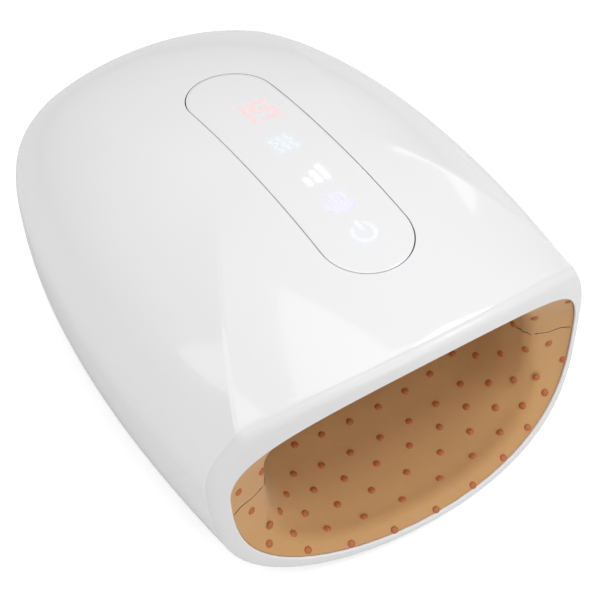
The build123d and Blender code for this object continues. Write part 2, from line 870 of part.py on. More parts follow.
# Rubber cradle under the motor, on the base
with BuildPart() as pump_cradle:
    for x in (can_end_x + cradle_width, cap_x - 2 * cradle_width):
        with BuildSketch(Plane.YZ.offset(x)):
            with Locations((pump_y, (pump_z + cradle_floor_z) / 2)):
                Rectangle(2 * (can_radius + cradle_wall), pump_z - cradle_floor_z)
            with Locations((pump_y, pump_z)):
                Circle(can_radius + fit_gap, mode=Mode.SUBTRACT)
        extrude(amount=cradle_width)
    add(inner_fit, mode=Mode.INTERSECT)
save(pump_cradle.part, "pump_cradle")


# Exhaust valves: a frame, a coil and a sprung plunger each, side by side on a rail
def valve_centre(index):
    return valve_places_x[index]


bore_floor_z = valve_base_z + valve_frame + fit_gap
with BuildPart() as valve_frames:
    for index in range(len(valve_places_x)):
        with BuildSketch(Plane.XY.offset(valve_base_z)):
            with Locations((valve_centre(index), valve_y)):
                Rectangle(valve_size[0], valve_size[1])
        extrude(amount=valve_size[2])
        with BuildSketch(Plane.XY.offset(valve_base_z + valve_frame)):
            with Locations((valve_centre(index), valve_y)):
                Rectangle(valve_size[0] - 2 * valve_frame, valve_size[1] + 2 * valve_frame)
        extrude(amount=valve_size[2] - 2 * valve_frame, mode=Mode.SUBTRACT)
        with BuildSketch(Plane.XY.offset(valve_base_z + valve_size[2])):
            with Locations((valve_centre(index), valve_y)):
                Circle(nozzle_radius)
        extrude(amount=nozzle_length)
        with BuildSketch(Plane.XY.offset(valve_base_z + valve_size[2] - valve_frame)):
            with Locations((valve_centre(index), valve_y)):
                Circle(nozzle_bore)
        extrude(amount=nozzle_length + valve_frame, mode=Mode.SUBTRACT)
save(valve_frames.part, "valve_frames")

coil_floor_z = valve_base_z + valve_frame
with BuildPart() as valve_coils:
    for index in range(len(valve_places_x)):
        with BuildSketch(Plane.XY.offset(coil_floor_z)):
            with Locations((valve_centre(index), valve_y)):
                Circle(coil_radius - running_gap)
                Circle(plunger_radius + running_gap, mode=Mode.SUBTRACT)
        extrude(amount=valve_size[2] - 2 * valve_frame)
save(valve_coils.part, "valve_coils")

for index in range(len(valve_places_x)):
    with BuildPart() as valve_plunger:
        with BuildSketch(Plane.XY.offset(bore_floor_z)):
            with Locations((valve_centre(index), valve_y)):
                Circle(plunger_radius)
        extrude(amount=plunger_length)
        chamfer(valve_plunger.edges().group_by(Axis.Z)[-1], plunger_radius / 4)
    save(valve_plunger.part, "valve_plunger_" + str(index + 1))

rail_low_x = valve_places_x[0] - valve_size[0] / 2
rail_high_x = valve_places_x[-1] + valve_size[0] / 2
with BuildPart() as valve_rail:
    add(block(
        (rail_low_x, valve_y - valve_size[1] / 2, valve_base_z - rail_height),
        (rail_high_x, valve_y + valve_size[1] / 2, valve_base_z),
    ))
    add(inner_fit, mode=Mode.INTERSECT)
save(valve_rail.part, "valve_rail")

# Battery: two round cells in a holder with end cheeks
with BuildPart() as battery_cells:
    with BuildSketch(Plane.YZ.offset(-cell_length / 2)):
        with Locations(*[(cell_y, z) for z in cell_places_z]):
            Circle(cell_radius)
    extrude(amount=cell_length)
    with BuildSketch(Plane.YZ.offset(cell_length / 2)):
        with Locations(*[(cell_y, z) for z in cell_places_z]):
            Circle(cell_radius / 3)
    extrude(amount=cell_button)
save(battery_cells.part, "battery_cells")

with BuildPart() as battery_holder:
    for side in (-1, 1):
        inner_x = side * (cell_length / 2 + cell_button + fit_gap)
        outer_x = inner_x + side * holder_wall
        low = (min(inner_x, outer_x), cell_y - cell_radius, cell_places_z[0] - cell_radius / 2)
        high = (max(inner_x, outer_x), cell_y + cell_radius, cell_places_z[1] + cell_radius / 2)
        add(block(low, high))
    # the back plate that joins the cheeks, between the board and the cells
    plate_y = cell_y - cell_radius - fit_gap - holder_wall
    reach_x = cell_length / 2 + cell_button + fit_gap + holder_wall
    add(block(
        (-reach_x, plate_y, cell_places_z[0] - cell_radius / 2),
        (reach_x, plate_y + holder_wall + fit_gap, cell_places_z[1] + cell_radius / 2),
    ))
save(battery_holder.part, "battery_holder")

# Main board, upright behind the sleeve, with its parts facing the rear
board_rear_y = main_board_y + main_board_size[1]
with BuildPart() as main_board:
    with BuildSketch(Plane.XZ.offset(-main_board_y)):
        with Locations((0, main_board_z)):
            RectangleRounded(main_board_size[0], main_board_size[2], main_board_size[1])
    extrude(amount=-main_board_size[1])
save(main_board.part, "main_board")

with BuildPart() as board_parts:
    for x_share, z_share, size in board_part_table_shares:
        with BuildSketch(Plane.XZ.offset(-board_rear_y)):
            with Locations((
                x_share * main_board_size[0],
                main_board_z + z_share * main_board_size[2],
            )):
                Rectangle(size[0] * board_part_size, size[1] * board_part_size)
        extrude(amount=-size[2] * board_part_size)
save(board_parts.part, "board_parts")

with BuildPart() as board_capacitors:
    for x_share in capacitor_place_shares:
        with BuildSketch(Plane.XZ.offset(-board_rear_y)):
            with Locations((x_share * main_board_size[0], main_board_z + capacitor_lift)):
                Circle(capacitor_radius)
        extrude(amount=-capacitor_height)
save(board_capacitors.part, "board_capacitors")

# Charging socket and its small board, in the rear wall
with BuildPart() as charge_socket:
    with BuildSketch(Plane.XZ.offset(-rear_y + socket_inset)):
        with Locations((0, port_z)):
            SlotOverall(port_size[0], port_size[1])
            SlotOverall(
                port_size[0] - 2 * port_shell, port_size[1] - 2 * port_shell, mode=Mode.SUBTRACT
            )
    extrude(amount=port_depth)
    with BuildSketch(Plane.XZ.offset(-rear_y + socket_inset + port_depth)):
        with Locations((0, port_z)):
            SlotOverall(port_size[0], port_size[1])
    extrude(amount=-port_shell)
    with BuildSketch(Plane.XZ.offset(-rear_y + socket_inset + port_depth)):
        with Locations((0, port_z)):
            Rectangle(port_size[0] - 4 * port_shell, 2 * port_shell)
    extrude(amount=-port_depth + port_shell)
save(charge_socket.part, "charge_socket")

socket_floor_z = port_z - port_size[1] / 2
socket_front_y = rear_y - socket_inset - port_depth
with BuildPart() as socket_board:
    add(block(
        (-port_board_size[0] / 2, socket_front_y - fit_gap, socket_floor_z - port_board_size[2]),
        (port_board_size[0] / 2, socket_front_y + port_board_size[1] / 2, socket_floor_z),
    ))
save(socket_board.part, "socket_board")
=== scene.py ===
import json
import math
import bpy
from mathutils import Matrix, Quaternion, Vector, noise


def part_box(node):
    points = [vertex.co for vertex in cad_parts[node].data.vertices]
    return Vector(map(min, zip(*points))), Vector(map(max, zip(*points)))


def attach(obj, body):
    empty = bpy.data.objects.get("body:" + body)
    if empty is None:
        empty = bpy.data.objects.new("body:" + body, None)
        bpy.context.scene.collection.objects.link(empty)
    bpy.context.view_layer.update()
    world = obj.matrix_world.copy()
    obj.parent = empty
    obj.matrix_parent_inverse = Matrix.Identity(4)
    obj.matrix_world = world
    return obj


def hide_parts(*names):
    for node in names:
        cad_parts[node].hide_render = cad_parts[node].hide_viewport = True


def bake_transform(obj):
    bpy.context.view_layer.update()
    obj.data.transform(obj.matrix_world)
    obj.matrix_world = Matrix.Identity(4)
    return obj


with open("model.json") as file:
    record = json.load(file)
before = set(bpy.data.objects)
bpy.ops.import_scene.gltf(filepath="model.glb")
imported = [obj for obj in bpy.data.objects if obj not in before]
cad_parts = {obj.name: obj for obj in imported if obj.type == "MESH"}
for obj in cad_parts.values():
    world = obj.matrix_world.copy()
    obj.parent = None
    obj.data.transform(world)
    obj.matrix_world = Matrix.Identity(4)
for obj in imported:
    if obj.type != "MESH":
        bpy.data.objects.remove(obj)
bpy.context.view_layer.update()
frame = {"nodes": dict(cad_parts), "record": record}
bpy.ops.object.select_all(action="DESELECT")

# The camera stands where the photograph was taken from
camera = {
    "target": Vector((0.0, -0.01707, 0.03373)),
    "distance": 0.4655,
    "azimuth": math.radians(-33.591),
    "elevation": math.radians(48.039),
    "roll": math.radians(1.241),
    "lens": 73.31,
}


def makeCamera():
    azimuth, elevation = camera["azimuth"], camera["elevation"]
    back = Vector((
        math.sin(azimuth) * math.cos(elevation),
        -math.cos(azimuth) * math.cos(elevation),
        math.sin(elevation),
    ))
    right = Vector((0, 0, 1)).cross(back).normalized()
    up = back.cross(right)
    roll = camera["roll"]
    tiltedRight = math.cos(roll) * right + math.sin(roll) * up
    tiltedUp = math.cos(roll) * up - math.sin(roll) * right
    place = camera["target"] + camera["distance"] * back
    data = bpy.data.cameras.new("photoCamera")
    data.lens = camera["lens"]
    data.sensor_width = 36
    photoCamera = bpy.data.objects.new("photoCamera", data)
    turn = Matrix((tiltedRight, tiltedUp, back)).transposed().to_4x4()
    photoCamera.matrix_world = Matrix.Translation(place) @ turn
    bpy.context.scene.collection.objects.link(photoCamera)
    bpy.context.scene.camera = photoCamera


makeCamera()
print("camera placed")


# Small helpers for modelling
def pickOnly(piece):
    if bpy.context.object and bpy.context.object.mode != "OBJECT":
        bpy.ops.object.mode_set(mode="OBJECT")
    bpy.ops.object.select_all(action="DESELECT")
    piece.select_set(True)
    bpy.context.view_layer.objects.active = piece


def startEdit(action="SELECT"):
    bpy.ops.object.mode_set(mode="EDIT")
    bpy.ops.mesh.select_all(action=action)


def leaveEdit():
    bpy.ops.object.mode_set(mode="OBJECT")


def addPlain(makePlain, **settings):
    bpy.ops.object.select_all(action="DESELECT")
    makePlain(**settings)
    return bpy.context.object


def copyOf(piece, name):
    copied = piece.copy()
    copied.data = piece.data.copy()
    copied.name = name
    bpy.context.scene.collection.objects.link(copied)
    return copied


def finishWith(piece, kind, **settings):
    pickOnly(piece)
    modifier = piece.modifiers.new(kind, kind)
    for name, value in settings.items():
        setattr(modifier, name, value)
    bpy.ops.object.modifier_apply(modifier=modifier.name)


def roundEdges(piece, width, degrees):
    finishWith(
        piece, "BEVEL", width=width, segments=2, limit_method="ANGLE",
        angle_limit=math.radians(degrees),
    )


def extrudeUp(height):
    bpy.ops.mesh.extrude_region_move(TRANSFORM_OT_translate={"value": (0, 0, height)})


def smoothShade(piece, degrees=35):
    pickOnly(piece)
    bpy.ops.object.shade_smooth_by_angle(angle=math.radians(degrees))


def cutAway(piece, cutter):
    finishWith(piece, "BOOLEAN", operation="DIFFERENCE", solver="EXACT", object=cutter)
    bpy.data.objects.remove(cutter, do_unlink=True)


def joinAll(pieces, name):
    pickOnly(pieces[0])
    for piece in pieces:
        piece.select_set(True)
    bpy.ops.object.join()
    joined = bpy.context.object
    joined.name = name
    return joined


def setInPlace(piece):
    pickOnly(piece)
    bpy.ops.object.transform_apply(location=True, rotation=True, scale=True)


# A grid whose points are laid on a surface, one column and one row at a time
def wrapGrid(name, columns, rows, placeOf):
    makeGrid = bpy.ops.mesh.primitive_grid_add
    piece = addPlain(makeGrid, x_subdivisions=columns, y_subdivisions=rows, size=1)
    piece.name = name
    for vertex in piece.data.vertices:
        column = round((vertex.co.x + 0.5) * columns)
        row = round((vertex.co.y + 0.5) * rows)
        vertex.co = placeOf(column, row)
    startEdit()
    bpy.ops.mesh.remove_doubles(threshold=0.000004)
    leaveEdit()
    return piece


# Turns a surface's faces away from a line along Y through the given middle, or towards it
def faceFrom(piece, middleZ, outward=True):
    total = 0
    for face in piece.data.polygons:
        away = Vector((face.center.x, 0, face.center.z - middleZ))
        total += face.area * face.normal.dot(away)
    if (total > 0) != outward:
        pickOnly(piece)
        startEdit()
        bpy.ops.mesh.flip_normals()
        leaveEdit()


def mix(a, b, share):
    return a + (b - a) * share


def ease(value):
    value = min(max(value, 0), 1)
    return value * value * (3 - 2 * value)


def bezier(corners, share):
    rest = 1 - share
    weights = (rest**3, 3 * share * rest**2, 3 * share**2 * rest, share**3)
    return (
        sum(weight * corner[0] for weight, corner in zip(weights, corners)),
        sum(weight * corner[1] for weight, corner in zip(weights, corners)),
    )


def quarter(width, height, fullness):
    return [(width, 0), (width, height * fullness), (width * fullness, height), (0, height)]


def cutCurve(corners, share):
    left, right = [], []
    row = corners
    while row:
        left.append(row[0])
        right.insert(0, row[-1])
        row = [
            (mix(a[0], b[0], share), mix(a[1], b[1], share))
            for a, b in zip(row, row[1:])
        ]
    return left, right


def shareAtWidth(corners, x):
    low, high = 0, 1
    for halving in range(22):
        middle = (low + high) / 2
        if bezier(corners, middle)[0] > x:
            low = middle
        else:
            high = middle
    return low


# The outer form of the housing, and the crease that runs over it
form = {
    "frontY": -0.1095,
    "length": 0.219,
    "halfWidth": 0.0728,
    "rise": 0.0416,
    "drop": 0.046,
    "footHeight": 0.003,
    "widestZ": 0.049,
    "tailEnd": 0.997,
    "widthSwell": (0.692, -0.462),
    "riseSwell": (1.6, -1.5),
    "widthTail": (1.5, 6.4),
    "riseTail": (1.2, 5.6),
    "dropTail": (6, 7),
    "upperFullness": 0.552,
    "lowerFullness": 0.945,
    "waistY": -0.005,
    "waistShare": 0.36,
    "waistBlend": 0.008,
    "creaseFrontRun": 0.149,
    "creaseRearRun": 0.25,
    "creaseEndShare": 0.93,
    "creaseLift": 0.0022,
    "creaseRearLift": 0.0014,
    "creaseFade": 0.026,
    "frontLean": 0.106,
    "frontBow": 0.0223,
    "frontBowWidth": 0.084,
    "firstDepth": 0.01,
    "edgeSteps": 9,
    "leastWidth": 0.001,
}
bowRadius = (form["frontBowWidth"] ** 2 + form["frontBow"] ** 2) / (2 * form["frontBow"])


# How far back a section lies, as a share of the length
def along(y):
    return form["tailEnd"] * (y - form["frontY"]) / form["length"]


def swell(share, gains, powers):
    blunt = max(1 - max(share, 0) ** powers[0], 0) ** (1 / powers[1])
    return (1 + gains[0] * share + gains[1] * share**2) * blunt


def creaseShare(y):
    away = math.hypot(y - form["waistY"], form["waistBlend"]) - form["waistBlend"]
    run = form["creaseFrontRun"] if y < form["waistY"] else form["creaseRearRun"]
    return min(form["waistShare"] + away / run, form["creaseEndShare"])


def creaseHeight(y):
    lift = form["creaseLift"] if y < form["waistY"] else form["creaseRearLift"]
    grown = 1 - math.exp(-(((y - form["waistY"]) / form["creaseFade"]) ** 2))
    return lift * grown * max(1 - max(along(y), 0) ** 8, 0)


# One section of the housing: its side, crown and lower curves, and where the crease cuts it
def section(y):
    share = along(y)
    width = form["halfWidth"] * swell(share, form["widthSwell"], form["widthTail"])
    height = form["rise"] * swell(share, form["riseSwell"], form["riseTail"])
    depth = form["drop"] * swell(share, (0, 0), form["dropTail"])
    upper = quarter(width, height, form["upperFullness"])
    cut = shareAtWidth(upper, width * creaseShare(y))
    side, crown = cutCurve(upper, cut)
    if width > form["leastWidth"]:
        x, z = side[-1]
        lift = creaseHeight(y) / math.hypot(x / width**2, z / height**2)
        ridge = (x + lift * x / width**2, z + lift * z / height**2)
        side[-1] = ridge
        crown[0] = ridge
    lower = quarter(width, -depth, form["lowerFullness"])
    return side, crown, lower, cut


# A point of a section, going round from the right side over the crown: six curves, 0 to 6
def roundPoint(parts, turn):
    side, crown, lower, cut = parts
    turn = turn % 6
    curve, share = int(turn), turn - int(turn)
    corners = (side, crown, crown, side, lower, lower)[curve]
    x, z = bezier(corners, 1 - share if curve in (2, 3, 5) else share)
    return (-x if curve in (2, 3, 4) else x), form["widestZ"] + z


def bowDepth(x):
    return bowRadius - math.sqrt(bowRadius**2 - min(abs(x), form["frontBowWidth"]) ** 2)


def frontFaceY(x, z):
    return form["frontY"] + bowDepth(x) + form["frontLean"] * (z - form["footHeight"])


# Where the housing's surface meets a face that lies a depth behind the front face
def frontEdge(turn, depth):
    y = form["frontY"] + form["firstDepth"]
    for step in range(form["edgeSteps"]):
        parts = section(y)
        x, z = roundPoint(parts, turn)
        y = frontFaceY(x, z) + depth
    return Vector((x, y, z)), parts[3]


# Height of the roof over a place near its middle
def roofZ(x, y, parts=None):
    side, crown, lower, cut = parts or section(y)
    if abs(x) > crown[0][0]:
        return form["widestZ"] + bezier(side, shareAtWidth(side, abs(x)))[1]
    return form["widestZ"] + bezier(crown, shareAtWidth(crown, abs(x)))[1]


# Housing skin: rows follow the leaning front face and close at the blunt tail
housing = {
    "columns": (16, 22, 20),
    "bodyRows": 84,
    "tailRows": 40,
    "tailStart": 0.85,
    "wall": 0.0024,
    "ringPlate": 0.003,
    "partingZ": 0.014,
    "partingGap": 0.00014,
    "creaseWidth": 0.0009,
    "creaseRound": 0.0002,
    "creaseEnd": 0.9,
    "onRidge": 0.00003,
    "edgeRound": 0.0003,
}


def roundTurns():
    side, crown, lower = housing["columns"]
    counts = enumerate((side, crown, crown, side, lower, lower))
    return [curve + step / count for curve, count in counts for step in range(count)] + [6]


turns = roundTurns()


def housingRows():
    tailShare = housing["tailStart"]
    power = form["widthTail"]
    full = (1 - tailShare ** power[0]) ** (1 / power[1])
    rows = []
    for row in range(1, housing["tailRows"] + 1):
        left = full * (1 - row / housing["tailRows"])
        share = (1 - left ** power[1]) ** (1 / power[0])
        rows.append(form["frontY"] + share * form["length"] / form["tailEnd"])
    return rows


def makeHousingSkin():
    bodyEndY = form["frontY"] + housing["tailStart"] * form["length"] / form["tailEnd"]
    tailYs = housingRows()
    starts = [frontEdge(turn, housing["ringPlate"])[0] for turn in turns]
    tailParts = [section(y) for y in tailYs]

    def placeOf(column, row):
        turn = turns[column]
        if row == 0:
            return starts[column]
        if row <= housing["bodyRows"]:
            y = mix(starts[column].y, bodyEndY, row / housing["bodyRows"])
            x, z = roundPoint(section(y), turn)
        else:
            y = tailYs[row - housing["bodyRows"] - 1]
            x, z = roundPoint(tailParts[row - housing["bodyRows"] - 1], turn)
        return Vector((x, y, z))

    rows = housing["bodyRows"] + housing["tailRows"]
    skin = wrapGrid("housingSkin", len(turns) - 1, rows, placeOf)
    faceFrom(skin, form["widestZ"])
    return skin


# Cuts the crease's ridge flat, and rounds both edges of the cut
def softenCrease(skin):
    pickOnly(skin)
    startEdit("DESELECT")
    bpy.ops.mesh.select_mode(type="EDGE")
    leaveEdit()
    ridge = set()
    for vertex in skin.data.vertices:
        x, y, z = vertex.co
        if y > form["frontY"] + form["length"] * housing["creaseEnd"] or z < form["widestZ"]:
            continue
        ridgeX, ridgeZ = roundPoint(section(y), 1)
        if max(abs(abs(x) - ridgeX), abs(z - ridgeZ)) < housing["onRidge"]:
            ridge.add(vertex.index)
    for edge in skin.data.edges:
        edge.select = edge.vertices[0] in ridge and edge.vertices[1] in ridge
    bpy.ops.object.mode_set(mode="EDIT")
    bpy.ops.mesh.bevel(offset=housing["creaseWidth"], segments=1, affect="EDGES")
    bpy.ops.mesh.region_to_loop()
    bpy.ops.mesh.bevel(offset=housing["creaseRound"], segments=2, profile=0.5, affect="EDGES")
    leaveEdit()
    print("crease", len(ridge))


# Keeps the part of a skin above or below a level
def keepPart(skin, name, level, above):
    part = copyOf(skin, name)
    pickOnly(part)
    startEdit()
    bpy.ops.mesh.bisect(
        plane_co=(0, 0, level), plane_no=(0, 0, 1), clear_inner=above, clear_outer=not above
    )
    leaveEdit()
    return part


# The touch panel's long rounded outline, and pieces laid inside it
panel = {
    "halfWidth": 0.0168,
    "nearY": -0.0706,
    "farY": 0.0482,
    "gap": 0.00034,
    "thickness": 0.0019,
    "outlineSteps": (28, 44, 28, 44),
    "rings": 10,
    "edgeRound": 0.0003,
    "columnLow": 0.086,
    "columnHigh": 0.11,
}


def panelOutline(step, grow):
    radius = panel["halfWidth"] + grow
    farMiddle = panel["farY"] - panel["halfWidth"]
    nearMiddle = panel["nearY"] + panel["halfWidth"]
    far, left, near, right = panel["outlineSteps"]
    step = step % (far + left + near + right)
    if step < far:
        angle = math.pi * step / far
        return radius * math.cos(angle), farMiddle + radius * math.sin(angle)
    step -= far
    if step < left:
        return -radius, mix(farMiddle, nearMiddle, step / left)
    step -= left
    if step < near:
        angle = math.pi * (1 + step / near)
        return radius * math.cos(angle), nearMiddle + radius * math.sin(angle)
    return radius, mix(nearMiddle, farMiddle, (step - near) / right)


def panelSpine(y):
    radius = panel["halfWidth"]
    return min(max(y, panel["nearY"] + radius), panel["farY"] - radius)


def makePanelCutter():
    points = [panelOutline(step, 0) for step in range(sum(panel["outlineSteps"]))]
    makeCircle = bpy.ops.mesh.primitive_circle_add
    cutter = addPlain(makeCircle, vertices=len(points), radius=1, fill_type="NGON")
    for vertex, point in zip(cutter.data.vertices, points):
        vertex.co = (point[0], point[1], panel["columnLow"])
    startEdit()
    extrudeUp(panel["columnHigh"] - panel["columnLow"])
    bpy.ops.mesh.select_all(action="SELECT")
    bpy.ops.mesh.normals_make_consistent(inside=False)
    leaveEdit()
    return cutter


def makePanel():
    count, rings = sum(panel["outlineSteps"]), panel["rings"]

    def placeOf(column, row):
        x, y = panelOutline(column, -panel["gap"])
        inward = row / rings
        x = mix(x, 0, inward)
        y = mix(y, panelSpine(y), inward)
        return Vector((x, y, roofZ(x, y)))

    plate = wrapGrid("touchPanel", count, rings, placeOf)
    faceFrom(plate, form["widestZ"])
    finishWith(plate, "SOLIDIFY", thickness=panel["thickness"], offset=-1)
    roundEdges(plate, panel["edgeRound"], 50)
    smoothShade(plate)
    return plate


# The window of the charging socket in the rear wall
socketWindow = {"z": 0.027, "size": (0.0096, 0.0039), "y": 0.108, "reach": 0.02, "corners": 12}


def makeSlotCutter(settings):
    width, height = settings["size"]
    cutter = addPlain(
        bpy.ops.mesh.primitive_cylinder_add, vertices=2 * settings["corners"],
        radius=height / 2, depth=settings["reach"],
        location=(0, settings["y"], settings["z"]), rotation=(math.pi / 2, 0, 0),
    )
    setInPlace(cutter)
    for vertex in cutter.data.vertices:
        if abs(vertex.co.x) > 0.00001:
            vertex.co.x += math.copysign((width - height) / 2, vertex.co.x)
    return cutter


# Recesses of the base: screw wells, feet and air slots
base = {
    "posts": ((0.066, -0.062), (0.066, 0.02), (0.057, 0.068)),
    "wellRadius": 0.0031,
    "postRadius": 0.004,
    "postTop": 0.0399,
    "postFoot": 0.009,
    "wellFloor": 0.015,
    "feet": ((0.042, -0.076), (0.036, 0.05)),
    "footRadius": 0.0061,
    "footRecess": 0.0062,
    "vents": 5,
    "ventPitch": 0.004,
    "ventSize": (0.0014, 0.009, 0.014),
    "ventY": 0.062,
    "ventZ": 0.006,
    "under": -0.002,
    "corners": 32,
}


def roundBar(x, y, radius, low, high):
    bar = addPlain(
        bpy.ops.mesh.primitive_cylinder_add, vertices=base["corners"],
        radius=radius, depth=high - low, location=(x, y, (low + high) / 2),
    )
    setInPlace(bar)
    return bar


def bothSides(places):
    return [(side * x, y) for side in (-1, 1) for x, y in places]


def makeBaseCutters():
    cutters = [
        roundBar(x, y, base["wellRadius"], base["under"], base["wellFloor"])
        for x, y in bothSides(base["posts"])
    ]
    for vent in range(base["vents"]):
        x = (vent - (base["vents"] - 1) / 2) * base["ventPitch"]
        place = (x, base["ventY"], base["ventZ"])
        cutter = addPlain(bpy.ops.mesh.primitive_cube_add, size=1, location=place)
        cutter.scale = base["ventSize"]
        setInPlace(cutter)
        cutters.append(cutter)
    return cutters + [
        roundBar(x, y, base["footRadius"], base["under"], base["footRecess"])
        for x, y in bothSides(base["feet"])
    ]


# Hollow posts that carry the screws, from the base up to the split with the top's posts
def makeScrewPosts():
    posts = []
    for x, y in bothSides(base["posts"]):
        post = roundBar(x, y, base["postRadius"], base["postFoot"], base["postTop"])
        startEdit("DESELECT")
        bpy.ops.mesh.select_mode(type="FACE")
        leaveEdit()
        for face in post.data.polygons:
            face.select = face.normal.z < -0.9
        bpy.ops.object.mode_set(mode="EDIT")
        bpy.ops.mesh.inset(thickness=base["postRadius"] - base["wellRadius"])
        extrudeUp(base["wellFloor"] - base["postFoot"])
        leaveEdit()
        posts.append(post)
    joined = joinAll(posts, "screwPosts")
    smoothShade(joined)
    return joined


skin = makeHousingSkin()
softenCrease(skin)
topHousing = keepPart(skin, "topHousing", housing["partingZ"] + housing["partingGap"], True)
baseHousing = keepPart(skin, "baseHousing", housing["partingZ"] - housing["partingGap"], False)
bpy.data.objects.remove(skin, do_unlink=True)
for shell in (topHousing, baseHousing):
    finishWith(shell, "SOLIDIFY", thickness=housing["wall"], offset=-1)
    roundEdges(shell, housing["edgeRound"], 60)
cutAway(topHousing, makePanelCutter())
cutAway(topHousing, makeSlotCutter(socketWindow))
for cutter in makeBaseCutters():
    cutAway(baseHousing, cutter)
smoothShade(topHousing, 30)
smoothShade(baseHousing, 30)
touchPanel = makePanel()
screwPosts = makeScrewPosts()
print("housing made")

# The hand opening's outline, shared by the ring and the lining
mouth = {
    "halfWidth": 0.0721,
    "topZ": 0.0875,
    "floorZ": 0.007,
    "middleZ": 0.0472,
    "upperFullness": 0.53,
    "lowerFullness": 0.86,
}


# A point round a soft outline: quarters 0 to 4, from the right side over the top
def softPoint(width, upper, lower, turn):
    turn = turn % 4
    part, share = int(turn), turn - int(turn)
    if part < 2:
        corners = quarter(width, upper, mouth["upperFullness"])
    else:
        corners = quarter(width, -lower, mouth["lowerFullness"])
    x, z = bezier(corners, 1 - share if part in (1, 3) else share)
    return (-x if part in (1, 2) else x), mouth["middleZ"] + z


def mouthPoint(turn, inset=0):
    return softPoint(
        mouth["halfWidth"] - inset,
        mouth["topZ"] - mouth["middleZ"] - inset,
        mouth["middleZ"] - mouth["floorZ"] - inset,
        turn,
    )


# Front ring: one closed band, flush with the housing outside and open to the mouth inside
ring = {
    "plate": 0.003,
    "rimOffset": 0.0028,
    "depth": 0.0073,
    "outerRound": (0.0024, 0.0026),
    "innerRound": (0.0006, 0.0006),
    "lip": 0.0009,
    "recess": 0.0014,
    "roundSteps": 7,
}


def ringProfile(width):
    plate, lip, depth = ring["plate"], ring["lip"], ring["depth"]
    rim, edge = ring["rimOffset"], width - ring["recess"]
    outer, inner = [], []
    for step in range(ring["roundSteps"] + 1):
        angle = math.pi / 2 * step / ring["roundSteps"]
        first, second = 1 - math.cos(angle), 1 - math.sin(angle)
        outer.append((ring["outerRound"][0] * first, ring["outerRound"][1] * second))
        inner.append((width - ring["innerRound"][0] * second, ring["innerRound"][1] * first))
    return [
        (0, plate), *outer, (width / 2, 0), *inner, (width, lip), (edge, lip),
        (edge, depth), (rim, depth), (rim, plate), (0, plate),
    ]


def makeFrontRing():
    outline = []
    for turn in turns:
        outer, cut = frontEdge(turn, housing["ringPlate"])
        stops = (0, cut, 1, 2 - cut, 2, 3, 4)
        curve = int(turn % 6)
        inner = Vector(mouthPoint(mix(stops[curve], stops[curve + 1], turn % 1)))
        outline.append((Vector((outer.x, outer.z)), inner))
    rows = len(ringProfile(0)) - 1

    def placeOf(column, row):
        outer, inner = outline[column]
        width = (inner - outer).length
        across, deep = ringProfile(width)[row]
        flat = outer + (inner - outer) * (across / width)
        return Vector((flat.x, frontFaceY(flat.x, flat.y) + deep, flat.y))

    band = wrapGrid("frontRing", len(turns) - 1, rows, placeOf)
    pickOnly(band)
    startEdit()
    bpy.ops.mesh.normals_make_consistent(inside=False)
    leaveEdit()
    smoothShade(band, 40)
    return band


frontRing = makeFrontRing()
print("front ring made")


# Fabric lining: its width, ceiling and floor as shares of the mouth's, by the depth in metres
lining = {
    "stations": (
        -0.011, 0.0044, 0.012, 0.021, 0.0234, 0.0274,
        0.0319, 0.0366, 0.0427, 0.0559, 0.1533, 0.1675,
    ),
    "widths": (1, 1, 1, 0.905, 0.85, 0.805, 0.78, 0.765, 0.755, 0.745, 0.73, 0.6),
    "ceilings": (1, 1, 0.94, 0.858, 0.835, 0.798, 0.762, 0.73, 0.697, 0.662, 0.61, 0.385),
    "floors": (1, 1, 1, 0.996, 0.993, 0.986, 0.977, 0.967, 0.95, 0.85, 0.815, 0.69),
    "gap": 0.0003,
    "inset": 0.0013,
    "fabric": 0.0011,
    "frontDepth": 0.001,
    "edgeGap": 0.00015,
    "turnIn": 0.0045,
    "turnPower": 0.7,
    "seamTurns": (-0.03, 2.085),
    "tuckTurn": 0.03,
    "rows": 110,
    "rowPower": 1.35,
    "endY": 0.0575,
    "capRows": 12,
    "capBow": 0.004,
    "collarDepth": 0.006,
    "collarReach": 0.0035,
    "collar": 0.0009,
    "sag": 0.0004,
    "waves": (28, 40, 28),
    "waveStart": 0.01,
    "mapRadius": 0.055,
}


def stationValue(values, y):
    depth = y - form["frontY"]
    places = lining["stations"]
    if depth <= places[0]:
        return values[0]
    for index in range(1, len(places)):
        if depth <= places[index]:
            share = (depth - places[index - 1]) / (places[index] - places[index - 1])
            return mix(values[index - 1], values[index], share)
    return values[-1]


# Smoothed over a short way so that no fold shows where two stations meet
def soften(values, y, reach=0.0022):
    return sum(stationValue(values, y + step * reach) for step in (-1, -0.5, 0, 0.5, 1)) / 5


def toMiddle(place):
    return Vector((-place.x, 0, mouth["middleZ"] - place.z)).normalized()


def liningPoint(turn, y, grow=0):
    grow -= lining["inset"]
    width = (mouth["halfWidth"] - lining["gap"]) * soften(lining["widths"], y) + grow
    upper = mouth["topZ"] - lining["gap"] - mouth["middleZ"]
    lower = mouth["middleZ"] - mouth["floorZ"] - lining["gap"]
    upper = upper * soften(lining["ceilings"], y) + grow
    lower = lower * soften(lining["floors"], y) + grow
    return softPoint(width, upper, lower, turn)


# Rows start on the mouth's edge behind the bowed face, and the cloth turns in from there
def liningY(turn, share):
    x, z = mouthPoint(turn)
    return mix(frontFaceY(x, z) + lining["frontDepth"], lining["endY"], share)


def liningPlace(turn, y, grow=0):
    x, z = liningPoint(turn, y, grow)
    edgeX, edgeZ = mouthPoint(turn, lining["edgeGap"])
    turned = ease((y - liningY(turn, 0)) / lining["turnIn"]) ** lining["turnPower"]
    return Vector((mix(edgeX, x, turned), y, mix(edgeZ, z, turned)))


